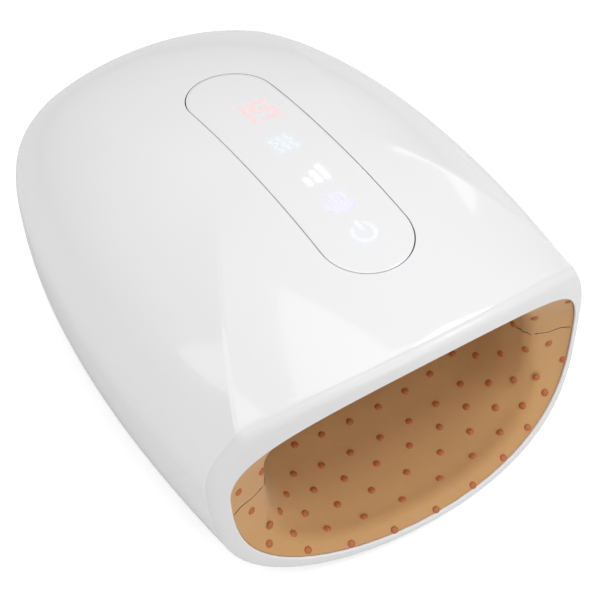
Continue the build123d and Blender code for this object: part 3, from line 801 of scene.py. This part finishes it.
# Collar: just behind the ring the fabric bulges inward, then runs back with a few soft waves
def fabricWave(place, depth):
    away = (depth - lining["collarDepth"]) / lining["collarReach"]
    collar = math.exp(-(away**2)) * lining["collar"]
    wave = noise.noise(place * Vector(lining["waves"])) * lining["sag"]
    return collar + wave * min(depth / lining["waveStart"], 1)


def makeLiningSheet(name, settings):
    rows, columns = lining["rows"], settings["columns"]
    first, last = settings["turns"]

    def placeOf(column, row):
        turn = mix(first, last, column / columns)
        beyond = max(settings["seams"][0] - turn, turn - settings["seams"][1], 0)
        grow = settings["tuck"] * ease(beyond / lining["tuckTurn"])
        place = liningPlace(turn, liningY(turn, min(row / rows, 1) ** lining["rowPower"]), grow)
        depth = place.y - liningY(turn, 0)
        place += toMiddle(place) * fabricWave(place, depth)
        left = 1 - max(row - rows, 0) / lining["capRows"]
        middle = Vector((0, place.y - lining["capBow"], mouth["middleZ"]))
        closed = middle.lerp(place, left)
        closed.y = place.y - lining["capBow"] * (1 - left**2)
        return closed

    sheet = wrapGrid(name, columns, rows + lining["capRows"], placeOf)
    faceFrom(sheet, mouth["middleZ"], outward=False)
    setWeaveMap(sheet)
    area = sum(face.area for face in sheet.data.polygons)
    ys = [vertex.co.y for vertex in sheet.data.vertices]
    length = max(ys) - min(ys)
    finishWith(sheet, "SOLIDIFY", thickness=lining["fabric"], offset=-1)
    smoothShade(sheet, 50)
    return sheet, area, (area / length, length)


# Lays the weave out in real metres: across by the way round, along by Y
def setWeaveMap(sheet):
    layers = sheet.data.uv_layers
    layer = layers[0] if layers else layers.new(name="weave")
    for face in sheet.data.polygons:
        for loop in face.loop_indices:
            co = sheet.data.vertices[sheet.data.loops[loop].vertex_index].co
            angle = math.atan2(co.z - mouth["middleZ"], co.x) % (2 * math.pi)
            layer.data[loop].uv = (angle * lining["mapRadius"], co.y)


ceilingCloth = {
    "columns": 132,
    "turns": (-0.12, 2.175),
    "seams": lining["seamTurns"],
    "tuck": 0.0017,
}
floorCloth = {
    "columns": 120,
    "turns": (lining["seamTurns"][1], 4 + lining["seamTurns"][0]),
    "seams": (2, 4),
    "tuck": 0,
}
ceilingFabric, ceilingArea, ceilingFlat = makeLiningSheet("ceilingFabric", ceilingCloth)
floorFabric, floorArea, floorFlat = makeLiningSheet("floorFabric", floorCloth)
print("lining made", ceilingFlat, floorFlat)

# Massage dots: rows across the floor that run on up the side walls past the seam
dots = {
    "radius": 0.0014,
    "profile": ((1, -0.0004), (0.97, 0.0002), (0.72, 0.0005), (0.32, 0.00032)),
    "corners": 12,
    "rowYs": (-0.1074, -0.0987, -0.0898, -0.0813, -0.073, -0.0625),
    "pitches": (0.0179, 0.0172, 0.0159, 0.0151, 0.0136, 0.0131),
    "gathers": (0.0004, 0.00055, 0.00042, 0.00042, 0.0002, 0.0002),
    "leans": (0.0032, -0.001, -0.003, -0.0047, -0.0055, -0.006),
    "leftGathers": (0, 0.0001, 0.0002, 0.0002, 0.0002, 0.0002),
    "leftEnds": (0.068, 0.068, 0.058, 0.05, 0.042, 0.036),
    "rightEnds": (0.068, 0.07, 0.06, 0.052, 0.046, 0.05),
    "sideSpots": (
        (3.785, -0.09), (4.225, -0.088), (3.9, -0.0864), (4.14, -0.0837), (3.87, -0.083),
        (3.75, -0.0751), (3.97, -0.0763), (3.61, -0.0671), (2, -0.0864), (2.155, -0.0872),
        (1.995, -0.0838),
    ),
    "sideStep": 0.01,
    "straighten": 0.86,
    "floorZ": 0.008,
    "reachTurn": 1.4,
    "leanWay": 0.06,
    "steps": 300,
    "nearY": Vector((0, 0.0006, 0)),
    "overSeam": 0.001,
}


def makeDot():
    dot = addPlain(
        bpy.ops.mesh.primitive_circle_add, vertices=dots["corners"],
        radius=dots["radius"], location=(0, 0, dots["profile"][0][1]),
    )
    setInPlace(dot)
    bpy.ops.object.mode_set(mode="EDIT")
    bpy.ops.mesh.select_mode(type="VERT")
    bpy.ops.mesh.select_all(action="SELECT")
    for before, after in zip(dots["profile"], dots["profile"][1:]):
        extrudeUp(after[1] - before[1])
        scale = after[0] / before[0]
        bpy.ops.transform.resize(value=(scale, scale, 1))
    bpy.ops.mesh.merge(type="CENTER")
    bpy.ops.mesh.select_all(action="SELECT")
    bpy.ops.mesh.normals_make_consistent(inside=False)
    leaveEdit()
    return dot


def sectionAt(turn, rowY):
    y = rowY
    for step in range(4):
        x, y, z = liningPlace(turn, y)
        lean = form["frontLean"] * max(z - dots["floorZ"], 0)
        y = rowY + bowDepth(x) * dots["straighten"] + lean
    return Vector((x, y, z))


# Places along one row, by the way round from the middle of the floor; the cloth gathers outward
def rowPlaces(row):
    places = []
    for side in (-1, 1):
        pitch, gather = dots["pitches"][row], dots["gathers"][row]
        gather += dots["leftGathers"][row] if side < 0 else 0
        ends = dots["leftEnds" if side < 0 else "rightEnds"][row]
        way, count = 0, 0.5 if row % 2 else (0 if side > 0 else 1)
        before = sectionAt(3, dots["rowYs"][row])
        for step in range(1, dots["steps"] + 1):
            turn = 3 + side * dots["reachTurn"] * step / dots["steps"]
            rowY = dots["rowYs"][row] + dots["leans"][row] * (way / dots["leanWay"]) ** 2
            here = sectionAt(turn, rowY)
            gap = (here - before).length
            wanted = pitch * count - gather * count**2
            if way <= wanted <= min(way + gap, ends):
                spot = before.lerp(here, (wanted - way) / gap)
                places.append((spot, turn, (here - before).normalized()))
                count += 1
            way, before = way + gap, here
    return places


# The few dots seen on the side walls, each by its way round and its depth
def sidePlaces():
    places = []
    for turn, y in dots["sideSpots"]:
        spot, near = liningPlace(turn, y), liningPlace(turn + dots["sideStep"], y)
        places.append((spot, turn, (near - spot).normalized()))
    return places


def layDots():
    model = makeDot()
    lower, upper = [], []
    rows = [rowPlaces(row) for row in range(len(dots["rowYs"]))] + [sidePlaces()]
    for places in rows:
        for spot, turn, across in places:
            rearward = liningPlace(turn, (spot + dots["nearY"]).y)
            frontward = liningPlace(turn, (spot - dots["nearY"]).y)
            normal = across.cross((rearward - frontward).normalized()).normalized()
            if normal.dot(toMiddle(spot)) < 0:
                normal = -normal
            depth = spot.y - liningY(turn, 0)
            seat = spot + toMiddle(spot) * fabricWave(spot, depth)
            dot = copyOf(model, "dot")
            turned = normal.to_track_quat("Z", "Y").to_matrix().to_4x4()
            dot.data.transform(Matrix.Translation(seat) @ turned)
            seamTurn = lining["seamTurns"][0 if spot.x > 0 else 1]
            seamZ = liningPlace(seamTurn, spot.y).z
            (upper if spot.z > seamZ + dots["overSeam"] else lower).append(dot)
    bpy.data.objects.remove(model, do_unlink=True)
    print("dots", len(lower), len(upper))
    return joinAll(lower, "floorDots"), joinAll(upper, "sideDots")


floorDots, sideDots = layDots()
for piece in (floorDots, sideDots):
    smoothShade(piece, 60)

# Zigzag thread along both side seams
thread = {
    "pitch": 0.0024,
    "width": 0.0007,
    "radius": 0.00015,
    "lift": 0.00005,
    "start": 0.0002,
    "endY": 0.04,
}


def makeSideSeams():
    seams = []
    for side in (-1, 1):
        turn = lining["seamTurns"][0 if side > 0 else 1]
        data = bpy.data.curves.new("sideSeam", "CURVE")
        data.dimensions = "3D"
        data.bevel_depth = thread["radius"]
        data.bevel_resolution = 1
        spline = data.splines.new("POLY")
        startY = liningY(turn, 0) + thread["start"]
        count = int((thread["endY"] - startY) / (thread["pitch"] / 2))
        spline.points.add(count - 1)
        for step in range(count):
            y = startY + step * thread["pitch"] / 2
            spot = liningPlace(turn, y)
            spot.z += thread["width"] / 2 if step % 2 else -thread["width"] / 2
            spot += toMiddle(spot) * (fabricWave(spot, y - startY) + thread["lift"])
            spline.points[step].co = (spot.x, spot.y, spot.z, 1)
        curve = bpy.data.objects.new("sideSeam", data)
        bpy.context.scene.collection.objects.link(curve)
        pickOnly(curve)
        bpy.ops.object.convert(target="MESH")
        seams.append(bpy.context.object)
    joined = joinAll(seams, "sideSeams")
    smoothShade(joined, 60)
    return joined


sideSeams = makeSideSeams()
print("dots and seams made")

# Lit marks on the touch panel: fine patches whose glow is worked out from plain strokes
marks = {
    "lift": 0.00002,
    "cell": 0.0003,
    "edge": 0.0017,
    "grow": 1.15,
    "bold": 1.6,
}
digit = {
    "size": (0.0056, 0.0094),
    "pitch": 0.0085,
    "half": 0.00055,
    "shown": ("bc", "afgcd"),
}
waves = {
    "pitch": 0.0026, "swing": 0.0007, "turn": 1.05,
    "low": -0.0034, "step": 0.00057, "steps": 13, "half": 0.0003,
}
bars = {"heights": (0.0022, 0.0038, 0.0054), "pitch": 0.003, "low": -0.0028, "half": 0.0007}
hand = {
    "fingers": ((-0.0024, 0.0016), (-0.0008, 0.0029), (0.0008, 0.0031), (0.0024, 0.0022)),
    "fingerLow": -0.001,
    "palm": ((-0.0018, -0.0022), (0.0018, -0.0022), 0.0014),
    "thumb": ((-0.0028, -0.0022), (-0.0042, 0.0002), 0.0006),
    "half": 0.0006,
}
power = {
    "radius": 0.0033, "angles": (38, 323, 15), "low": 0.0008, "high": 0.0042, "half": 0.00034,
}


def strokesOfDigits():
    width, height = digit["size"]
    left, right, top, bottom = -width / 2, width / 2, height / 2, -height / 2
    lines = {
        "a": ((left, top), (right, top)),
        "b": ((right, top), (right, 0)),
        "c": ((right, 0), (right, bottom)),
        "d": ((left, bottom), (right, bottom)),
        "e": ((left, 0), (left, bottom)),
        "f": ((left, top), (left, 0)),
        "g": ((left, 0), (right, 0)),
    }
    strokes = []
    for index, segments in enumerate(digit["shown"]):
        shift = (index - (len(digit["shown"]) - 1) / 2) * digit["pitch"]
        for segment in segments:
            (x1, y1), (x2, y2) = lines[segment]
            strokes.append(((x1 + shift, y1), (x2 + shift, y2), digit["half"]))
    return strokes


def strokesOfWaves():
    strokes = []
    for column in (-1, 0, 1):
        points = [
            (
                column * waves["pitch"] + waves["swing"] * math.sin(step * waves["turn"]),
                waves["low"] + step * waves["step"],
            )
            for step in range(waves["steps"])
        ]
        strokes += [(a, b, waves["half"]) for a, b in zip(points, points[1:])]
    return strokes


def strokesOfBars():
    strokes = []
    for index, height in enumerate(bars["heights"]):
        x = (index - 1) * bars["pitch"]
        strokes.append(((x, bars["low"]), (x, bars["low"] + height), bars["half"]))
    return strokes


def strokesOfHand():
    fingers = [((x, hand["fingerLow"]), (x, top), hand["half"]) for x, top in hand["fingers"]]
    return fingers + [hand["palm"], hand["thumb"]]


def strokesOfPower():
    angles = [math.radians(angle) for angle in range(*power["angles"])]
    radius, half = power["radius"], power["half"]
    points = [(radius * math.sin(angle), radius * math.cos(angle)) for angle in angles]
    strokes = [(a, b, half) for a, b in zip(points, points[1:])]
    return strokes + [((0, power["low"]), (0, power["high"]), half)]


markSet = (
    ("litDigits", 0.0165, (0.0112, 0.008), strokesOfDigits, (1, 0.66, 0.67)),
    ("litHeat", -0.0047, (0.0072, 0.0072), strokesOfWaves, (0.82, 0.93, 1)),
    ("litLevel", -0.0239, (0.0072, 0.0072), strokesOfBars, (1, 1, 1)),
    ("litHand", -0.0385, (0.0072, 0.0072), strokesOfHand, (0.82, 0.8, 1)),
    ("litPower", -0.0537, (0.0072, 0.0072), strokesOfPower, (0.88, 0.92, 1)),
)


def strokeDistance(x, y, strokes):
    nearest = 1
    for (x1, y1), (x2, y2), halfWidth in strokes:
        dx, dy = x2 - x1, y2 - y1
        share = ((x - x1) * dx + (y - y1) * dy) / max(dx * dx + dy * dy, 1e-12)
        share = min(max(share, 0), 1)
        away = math.hypot(x - x1 - share * dx, y - y1 - share * dy)
        nearest = min(nearest, away - halfWidth)
    return nearest


def makeMark(name, middleY, reach, strokesOf):
    grow, bold = marks["grow"], marks["bold"]
    strokes = [
        ((x1 * grow, y1 * grow), (x2 * grow, y2 * grow), half * bold)
        for (x1, y1), (x2, y2), half in strokesOf()
    ]
    columns = int(2 * reach[0] / marks["cell"])
    rows = int(2 * reach[1] / marks["cell"])

    def placeOf(column, row):
        x = mix(-reach[0], reach[0], column / columns)
        y = mix(-reach[1], reach[1], row / rows)
        return Vector((x, middleY + y, roofZ(x, middleY + y) + marks["lift"]))

    patch = wrapGrid(name, columns, rows, placeOf)
    faceFrom(patch, form["widestZ"])
    layer = patch.data.attributes.new("glow", "FLOAT", "POINT")
    for vertex in patch.data.vertices:
        away = strokeDistance(vertex.co.x, vertex.co.y - middleY, strokes)
        layer.data[vertex.index].value = 1 - ease(away / marks["edge"] + 0.5)
    return patch


litMarks = [
    (makeMark(name, middleY, reach, strokesOf), colour)
    for name, middleY, reach, strokesOf, colour in markSet
]
print("marks made")

# Soft layers inside: foam pads and air bladders, swollen a little from the CAD's own forms
softLayers = {
    "palm_pad": ("palmCushionPad", "palm_cushion", 0.0016),
    "finger_pad": ("fingerCushionPad", "finger_cushion", 0.0016),
    "floor_pad": ("floorCushionPad", "floor_cushion", 0.0013),
    "palm_bladder": ("palmAirBladder", "palm_cushion", 0.0014),
    "finger_bladder": ("fingerAirBladder", "finger_cushion", 0.0014),
    "floor_bladder": ("floorAirBladder", "floor_cushion", 0.001),
}
swelling = {
    "inset": 0.00042,
    "cap": 0.0003,
    "pressure": 4,
    "frames": 20,
    "roofBend": 0.0042,
    "floorBend": 0.0021,
}


def makeSoftLayer(node, name, voxel):
    layer = copyOf(bpy.data.objects[node], name)
    layer.parent = None
    layer.matrix_world = Matrix.Identity(4)
    for key in list(layer.keys()):
        del layer[key]
    layer.hide_render = False
    pickOnly(layer)
    startEdit()
    bpy.ops.mesh.remove_doubles(threshold=0.00001)
    leaveEdit()
    finishWith(layer, "REMESH", mode="VOXEL", voxel_size=voxel, use_smooth_shade=True)
    finishWith(layer, "SMOOTH", factor=0.5, iterations=3)
    for vertex, normal in [(v, v.normal.copy()) for v in layer.data.vertices]:
        vertex.co -= normal * swelling["inset"]
    startPlaces = [vertex.co.copy() for vertex in layer.data.vertices]
    pickOnly(layer)
    cloth = layer.modifiers.new("swell", "CLOTH")
    cloth.settings.use_pressure = True
    cloth.settings.uniform_pressure_force = swelling["pressure"]
    cloth.settings.effector_weights.gravity = 0
    cloth.point_cache.frame_end = swelling["frames"]
    for frameNumber in range(1, swelling["frames"] + 1):
        bpy.context.scene.frame_set(frameNumber)
    bpy.ops.object.modifier_apply(modifier=cloth.name)
    bpy.context.scene.frame_set(1)
    for vertex, before in zip(layer.data.vertices, startPlaces):
        move = vertex.co - before
        if move.length > swelling["cap"]:
            vertex.co = before + move.normalized() * swelling["cap"]
    return layer


softPieces = {}
for node, (name, body, voxel) in softLayers.items():
    softPieces[node] = makeSoftLayer(node, name, voxel)
    print(name, len(softPieces[node].data.vertices))
print("soft layers made")


# Shared surface effects, each built once as a node group, and how fine their grains are
grains = {
    "broad": 22.0,
    "slub": 260.0,
    "wear": 30.0,
    "tarnish": 120.0,
    "drawn": (90.0, 1800.0, 1800.0),
}
socketKinds = {"Place": "NodeSocketVector", "Colour": "NodeSocketColor"}


def startGroup(name, **values):
    group = bpy.data.node_groups.new(name, "ShaderNodeTree")
    for label in ("Place", "Colour", *values):
        kind = socketKinds.get(label, "NodeSocketFloat")
        socket = group.interface.new_socket(label, in_out="INPUT", socket_type=kind)
        if label in values:
            socket.default_value = values[label]
    return group, group.nodes.new("NodeGroupInput").outputs


def endGroup(group, **results):
    for label in results:
        kind = socketKinds.get(label, "NodeSocketFloat")
        group.interface.new_socket(label, in_out="OUTPUT", socket_type=kind)
    feed(group, group.nodes.new("NodeGroupOutput"), results)
    return group


# Each input takes a plain value or another node's output
def feed(tree, node, inputs):
    for socket, value in inputs.items():
        if isinstance(value, bpy.types.NodeSocket):
            tree.links.new(value, node.inputs[socket])
        else:
            node.inputs[socket].default_value = value


def addNode(tree, kind, inputs=None, **settings):
    node = tree.nodes.new(kind)
    for name, value in settings.items():
        setattr(node, name, value)
    feed(tree, node, inputs or {})
    return node


def scaled(tree, vector, amount):
    inputs = {0: vector, "Scale": amount}
    return addNode(tree, "ShaderNodeVectorMath", inputs, operation="SCALE").outputs["Vector"]


def sums(tree, operation, *values):
    inputs = dict(enumerate(values))
    return addNode(tree, "ShaderNodeMath", inputs, operation=operation).outputs[0]


# Shades a colour by a mask: darker where the mask is low
def shadeBy(tree, colour, mask, amount):
    low = sums(tree, "SUBTRACT", 1, amount)
    bright = addNode(tree, "ShaderNodeMapRange", {"Value": mask, "To Min": low, "To Max": 1})
    return scaled(tree, colour, bright.outputs[0])


def noiseIn(tree, vector, scale, detail):
    inputs = {"Vector": vector, "Scale": scale, "Detail": detail}
    return addNode(tree, "ShaderNodeTexNoise", inputs).outputs[0]


def makeMouldedGrain():
    group, given = startGroup("mouldedGrain", Grain=900.0, Shade=0.05, Roughness=0.3, Spread=0.1)
    broad = noiseIn(group, given["Place"], grains["broad"], 3.0)
    fine = noiseIn(group, given["Place"], given["Grain"], 2.0)
    shaded = shadeBy(group, given["Colour"], broad, given["Shade"])
    spread = sums(group, "MULTIPLY", sums(group, "SUBTRACT", broad, 0.5), given["Spread"])
    rough = sums(group, "ADD", given["Roughness"], spread)
    return endGroup(group, Colour=shaded, Roughness=rough, Height=fine)


def makeWovenCloth():
    group, given = startGroup("wovenCloth", Threads=1500.0, Shade=0.35, Slub=0.25)
    threads = scaled(group, given["Place"], given["Threads"])
    split = addNode(group, "ShaderNodeSeparateXYZ", {0: threads})
    across = sums(group, "SINE", sums(group, "MULTIPLY", split.outputs[0], math.pi))
    along = sums(group, "SINE", sums(group, "MULTIPLY", split.outputs[1], math.pi))
    crossed = sums(group, "MULTIPLY", sums(group, "MULTIPLY", across, along), 0.5)
    weave = sums(group, "ADD", crossed, 0.5)
    slub = noiseIn(group, given["Place"], grains["slub"], 4.0)
    wear = noiseIn(group, given["Place"], grains["wear"], 2.0)
    mask = sums(group, "MULTIPLY", weave, sums(group, "ADD", 0.6, slub))
    shaded = shadeBy(group, given["Colour"], mask, given["Shade"])
    return endGroup(group, Colour=shadeBy(group, shaded, wear, given["Slub"]), Height=mask)


def makeDrawnMetal():
    group, given = startGroup("drawnMetal", Roughness=0.3, Streaks=1.0)
    drawn = {"Vector": given["Place"], "Scale": grains["drawn"]}
    stretched = addNode(group, "ShaderNodeMapping", drawn)
    streak = noiseIn(group, stretched.outputs[0], 1.0, 3.0)
    tarnish = noiseIn(group, given["Place"], grains["tarnish"], 3.0)
    shaded = shadeBy(group, given["Colour"], tarnish, 0.25)
    streaks = sums(group, "MULTIPLY", streak, sums(group, "MULTIPLY", given["Streaks"], 0.3))
    rough = sums(group, "ADD", given["Roughness"], streaks)
    return endGroup(group, Colour=shaded, Roughness=rough, Height=streak)


def makeOpenCells():
    group, given = startGroup("openCells", Cells=1500.0, Shade=0.4)
    cells = {"Vector": given["Place"], "Scale": given["Cells"]}
    near = addNode(group, "ShaderNodeTexVoronoi", cells).outputs["Distance"]
    depth = addNode(group, "ShaderNodeMapRange", {"Value": near, "From Max": 0.6}).outputs[0]
    shaded = shadeBy(group, given["Colour"], depth, given["Shade"])
    return endGroup(group, Colour=shaded, Height=depth)


mouldedGrain = makeMouldedGrain()
wovenCloth = makeWovenCloth()
drawnMetal = makeDrawnMetal()
openCells = makeOpenCells()


def startFinish(name):
    finish = bpy.data.materials.new(name)
    finish.use_nodes = True
    return finish, finish.node_tree, finish.node_tree.nodes["Principled BSDF"]


# A material from one shared effect: its own values go to the effect and straight to the shader
def makeFinish(name, effect, colour, effectValues, shaderValues, bump):
    finish, tree, shader = startFinish(name)
    where = addNode(tree, "ShaderNodeTexCoord").outputs
    place = where["UV" if effect.name == "wovenCloth" else "Object"]
    inputs = {"Place": place, "Colour": (*colour, 1), **effectValues}
    look = addNode(tree, "ShaderNodeGroup", inputs, node_tree=effect).outputs
    strength, distance = bump
    inputs = {"Strength": strength, "Distance": distance, "Height": look["Height"]}
    raised = addNode(tree, "ShaderNodeBump", inputs).outputs[0]
    feed(tree, shader, {**shaderValues, "Base Color": look["Colour"], "Normal": raised})
    if "Roughness" in look:
        feed(tree, shader, {"Roughness": look["Roughness"]})
    finish.diffuse_color = (*colour, 1)
    return finish


def moulded(
    name, colour, roughness, grain=900.0, shade=0.05, spread=0.08, bump=(0.1, 0.00005), **shader
):
    values = {"Grain": grain, "Shade": shade, "Roughness": roughness, "Spread": spread}
    return makeFinish(name, mouldedGrain, colour, values, shader, bump)


def metal(name, colour, roughness, streaks=1.0):
    values = {"Roughness": roughness, "Streaks": streaks}
    return makeFinish(name, drawnMetal, colour, values, {"Metallic": 1.0}, (0.15, 0.00003))


finishes = {
    "shell": moulded(
        "glossShell", (0.86, 0.86, 0.87), 0.14, 260.0, 0.015, 0.03, (0.02, 0.00004),
        **{"Coat Weight": 0.6, "Coat Roughness": 0.03},
    ),
    "ring": moulded("satinRing", (0.8, 0.8, 0.81), 0.24, 400.0, 0.02, 0.04, (0.03, 0.00004)),
    "panel": moulded(
        "touchPanelWhite", (0.86, 0.86, 0.87), 0.13, 260.0, 0.01, 0.02, (0.01, 0.00003),
        **{"Coat Weight": 0.6, "Coat Roughness": 0.04},
    ),
    "rubber": moulded(
        "mattRubber", (0.045, 0.045, 0.048), 0.75, 2200.0, 0.3, 0.15, (0.35, 0.00008)
    ),
    "shroud": moulded("lightGuideWhite", (0.82, 0.82, 0.82), 0.5, 1400.0, 0.08),
    "board": moulded(
        "boardGreen", (0.015, 0.12, 0.05), 0.38, 1500.0, 0.35, 0.1, **{"Coat Weight": 0.3}
    ),
    "lamp": moulded(
        "lampResin", (0.85, 0.8, 0.6), 0.2, 900.0, 0.1,
        **{"Subsurface Weight": 0.2, "Subsurface Scale": 0.001},
    ),
    "display": moulded("displayResin", (0.35, 0.05, 0.05), 0.3, 900.0, 0.15),
    "dot": moulded("dotRubber", (0.55, 0.16, 0.045), 0.42, 1500.0, 0.25, 0.12, (0.2, 0.00006)),
    "tray": moulded("trayGrey", (0.5, 0.5, 0.5), 0.55, 1300.0, 0.12, 0.1, (0.2, 0.00006)),
    "film": moulded("heaterFilm", (0.6, 0.2, 0.04), 0.3, 500.0, 0.3, 0.1),
    "bladder": moulded(
        "bladderFilm", (0.52, 0.52, 0.49), 0.34, 700.0, 0.2, 0.12, (0.2, 0.0001)
    ),
    "magnet": moulded("ferrite", (0.03, 0.03, 0.032), 0.6, 2500.0, 0.4, 0.2, (0.3, 0.00006)),
    "dark_plastic": moulded(
        "blackPlastic", (0.025, 0.025, 0.027), 0.42, 1600.0, 0.25, 0.12, (0.2, 0.00005)
    ),
    "cell": moulded(
        "cellSleeve", (0.05, 0.18, 0.42), 0.22, 500.0, 0.12, 0.05, **{"Coat Weight": 0.3}
    ),
    "steel": metal("platedSteel", (0.62, 0.62, 0.64), 0.18),
    "brass": metal("sinteredBrass", (0.62, 0.44, 0.17), 0.3, 0.4),
    "copper": metal("enamelledCopper", (0.62, 0.24, 0.09), 0.2, 1.4),
    "aluminium": metal("bareAluminium", (0.75, 0.75, 0.77), 0.25),
    "foam": makeFinish(
        "padFoam", openCells, (0.7, 0.62, 0.5),
        {"Cells": 1300.0, "Shade": 0.45}, {"Roughness": 0.95}, (0.5, 0.0002),
    ),
    "fabric": makeFinish(
        "tanWeave", wovenCloth, (0.68, 0.385, 0.16),
        {"Threads": 3300.0, "Shade": 0.16, "Slub": 0.12},
        {"Roughness": 0.88, "Sheen Weight": 0.25, "Sheen Roughness": 0.5}, (0.4, 0.0001),
    ),
    "thread": makeFinish(
        "seamThread", openCells, (0.16, 0.085, 0.045),
        {"Cells": 3000.0, "Shade": 0.4}, {"Roughness": 0.8}, (0.3, 0.0001),
    ),
}


# A lit mark shines through the panel: its strokes show by their glow
lit = {"opacity": 0.5, "strength": 0.3, "roughness": 0.2, "grain": 500.0, "shade": 0.08}


def makeLitFinish(name, colour):
    finish, tree, shader = startFinish(name)
    glow = addNode(tree, "ShaderNodeAttribute", attribute_name="glow").outputs["Fac"]
    place = addNode(tree, "ShaderNodeTexCoord").outputs["Object"]
    tinted = shadeBy(tree, colour, noiseIn(tree, place, lit["grain"], 2.0), lit["shade"])
    feed(tree, shader, {
        "Base Color": tinted,
        "Emission Color": tinted,
        "Emission Strength": lit["strength"],
        "Alpha": sums(tree, "MULTIPLY", glow, lit["opacity"]),
        "Roughness": lit["roughness"],
    })
    return finish


def paint(piece, finish, slotName):
    piece.data.materials.clear()
    piece.data.materials.append(finish)


for piece, slotName in (
    (topHousing, "shell"), (baseHousing, "shell"), (screwPosts, "shell"), (frontRing, "ring"),
    (touchPanel, "panel"), (ceilingFabric, "fabric"), (floorFabric, "fabric"),
    (floorDots, "dot"), (sideDots, "dot"),
):
    paint(piece, finishes[slotName], slotName)
paint(sideSeams, finishes["thread"], "fabric")
for patch, colour in litMarks:
    paint(patch, makeLitFinish(patch.name + "Glow", colour), "lamp")
for node, piece in softPieces.items():
    slotName = "foam" if node.endswith("pad") else "bladder"
    paint(piece, finishes[slotName], slotName)
slots = {row["node"]: row["material_slot"] for row in frame["record"]["subparts"]}
for name, node in frame["nodes"].items():
    finish = finishes.get(slots[name], finishes["dark_plastic"])
    if not node.material_slots:
        node.data.materials.append(finish)
    for materialSlot in node.material_slots:
        materialSlot.material = finish
print("finishes given")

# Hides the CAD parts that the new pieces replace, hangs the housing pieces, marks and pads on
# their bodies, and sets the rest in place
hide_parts("top_shell")
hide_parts("base_shell")
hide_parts("front_ring")
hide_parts("control_panel")
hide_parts("ceiling_liner")
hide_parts("floor_liner")
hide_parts("massage_dots")
hardPieces = [topHousing, baseHousing, screwPosts, frontRing, touchPanel]
for piece in hardPieces + [patch for patch, colour in litMarks]:
    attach(piece, "housing")
for piece in (ceilingFabric, sideDots):
    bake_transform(piece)
for piece in (floorFabric, floorDots, sideSeams):
    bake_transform(piece)
for node, (name, body, voxel) in softLayers.items():
    piece = softPieces[node]
    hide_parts(node)
    if node.endswith("pad"):
        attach(piece, body)
    else:
        low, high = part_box(node)
        if body == "floor_cushion":
            start, end = (0, 0, low.z), (0, 0, low.z + swelling["floorBend"])
        else:
            start, end = (0, 0, high.z), (0, 0, high.z - swelling["roofBend"])
        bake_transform(piece)
        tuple(start)
        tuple(end)
print("pieces placed")

# Floor and plain soft studio light
studio = {
    "floorSize": 6,
    "floorColour": (0.8, 0.8, 0.8),
    "floorGlow": 0.5,
    "horizonLight": 0.6,
    "skyLight": 0.63,
    "skyReach": 0.85,
    "key": {"place": (0.55, -0.35, 0.95), "aim": (0, 0, 0.03), "size": 0.5, "power": 2.8},
    "left": {"place": (-0.85, 0.15, 0.65), "aim": (0, 0, 0.03), "size": 0.6, "power": 1.15},
    "top": {
        "place": (-0.165, -0.165, 1.09), "aim": (-0.165, -0.165, 0),
        "size": 0.7, "power": 1.5, "roll": 0.65,
    },
    "rear": {
        "place": (0.87, 0.47, 0.5), "aim": (0, 0, 0.06),
        "size": 0.34, "height": 0.07, "power": 0.08,
    },
    "front": {"place": (0.1, -1.0, 0.55), "aim": (0, -0.05, 0.03), "size": 0.5, "power": 1.5},
}


def makeFloor():
    floor = addPlain(bpy.ops.mesh.primitive_plane_add, size=studio["floorSize"])
    floor.name = "studioFloor"
    finish, tree, shader = startFinish("studioFloorPaint")
    seen = addNode(tree, "ShaderNodeLightPath").outputs["Is Camera Ray"]
    feed(tree, shader, {
        "Base Color": (*studio["floorColour"], 1),
        "Roughness": 0.9,
        "Specular IOR Level": 0,
        "Emission Color": (1, 1, 1, 1),
        "Emission Strength": sums(tree, "MULTIPLY", seen, studio["floorGlow"]),
    })
    floor.data.materials.append(finish)


# The sky is brighter overhead than at the horizon, and white where the camera looks past the floor
def makeWorld():
    world = bpy.data.worlds.new("studioWorld")
    bpy.context.scene.world = world
    world.use_nodes = True
    tree = world.node_tree
    where = addNode(tree, "ShaderNodeTexCoord").outputs["Generated"]
    height = addNode(tree, "ShaderNodeSeparateXYZ", {0: where}).outputs[2]
    glow = addNode(tree, "ShaderNodeMapRange", {
        "Value": height,
        "From Min": 0,
        "From Max": studio["skyReach"],
        "To Min": studio["horizonLight"],
        "To Max": studio["skyLight"],
    }, interpolation_type="SMOOTHSTEP").outputs[0]
    path = addNode(tree, "ShaderNodeLightPath").outputs
    seen = sums(tree, "MAXIMUM", path["Is Camera Ray"], path["Is Transmission Ray"])
    strength = sums(tree, "MAXIMUM", glow, seen)
    feed(tree, tree.nodes["Background"], {"Color": (1, 1, 1, 1), "Strength": strength})


def makeLamp(name):
    settings = studio[name]
    data = bpy.data.lights.new(name + "Lamp", "AREA")
    data.shape = "RECTANGLE"
    data.size = settings["size"]
    data.size_y = settings.get("height", settings["size"])
    data.energy = settings["power"]
    lamp = bpy.data.objects.new(name + "Lamp", data)
    aim = Vector(settings["aim"]) - Vector(settings["place"])
    lamp.location = settings["place"]
    rolled = Quaternion((0, 0, 1), settings.get("roll", 0))
    lamp.rotation_euler = (aim.to_track_quat("-Z", "Y") @ rolled).to_euler()
    bpy.context.scene.collection.objects.link(lamp)


makeFloor()
makeWorld()
for name in ("key", "left", "top", "rear", "front"):
    makeLamp(name)
bpy.context.scene.view_settings.view_transform = "Standard"
print("studio made")
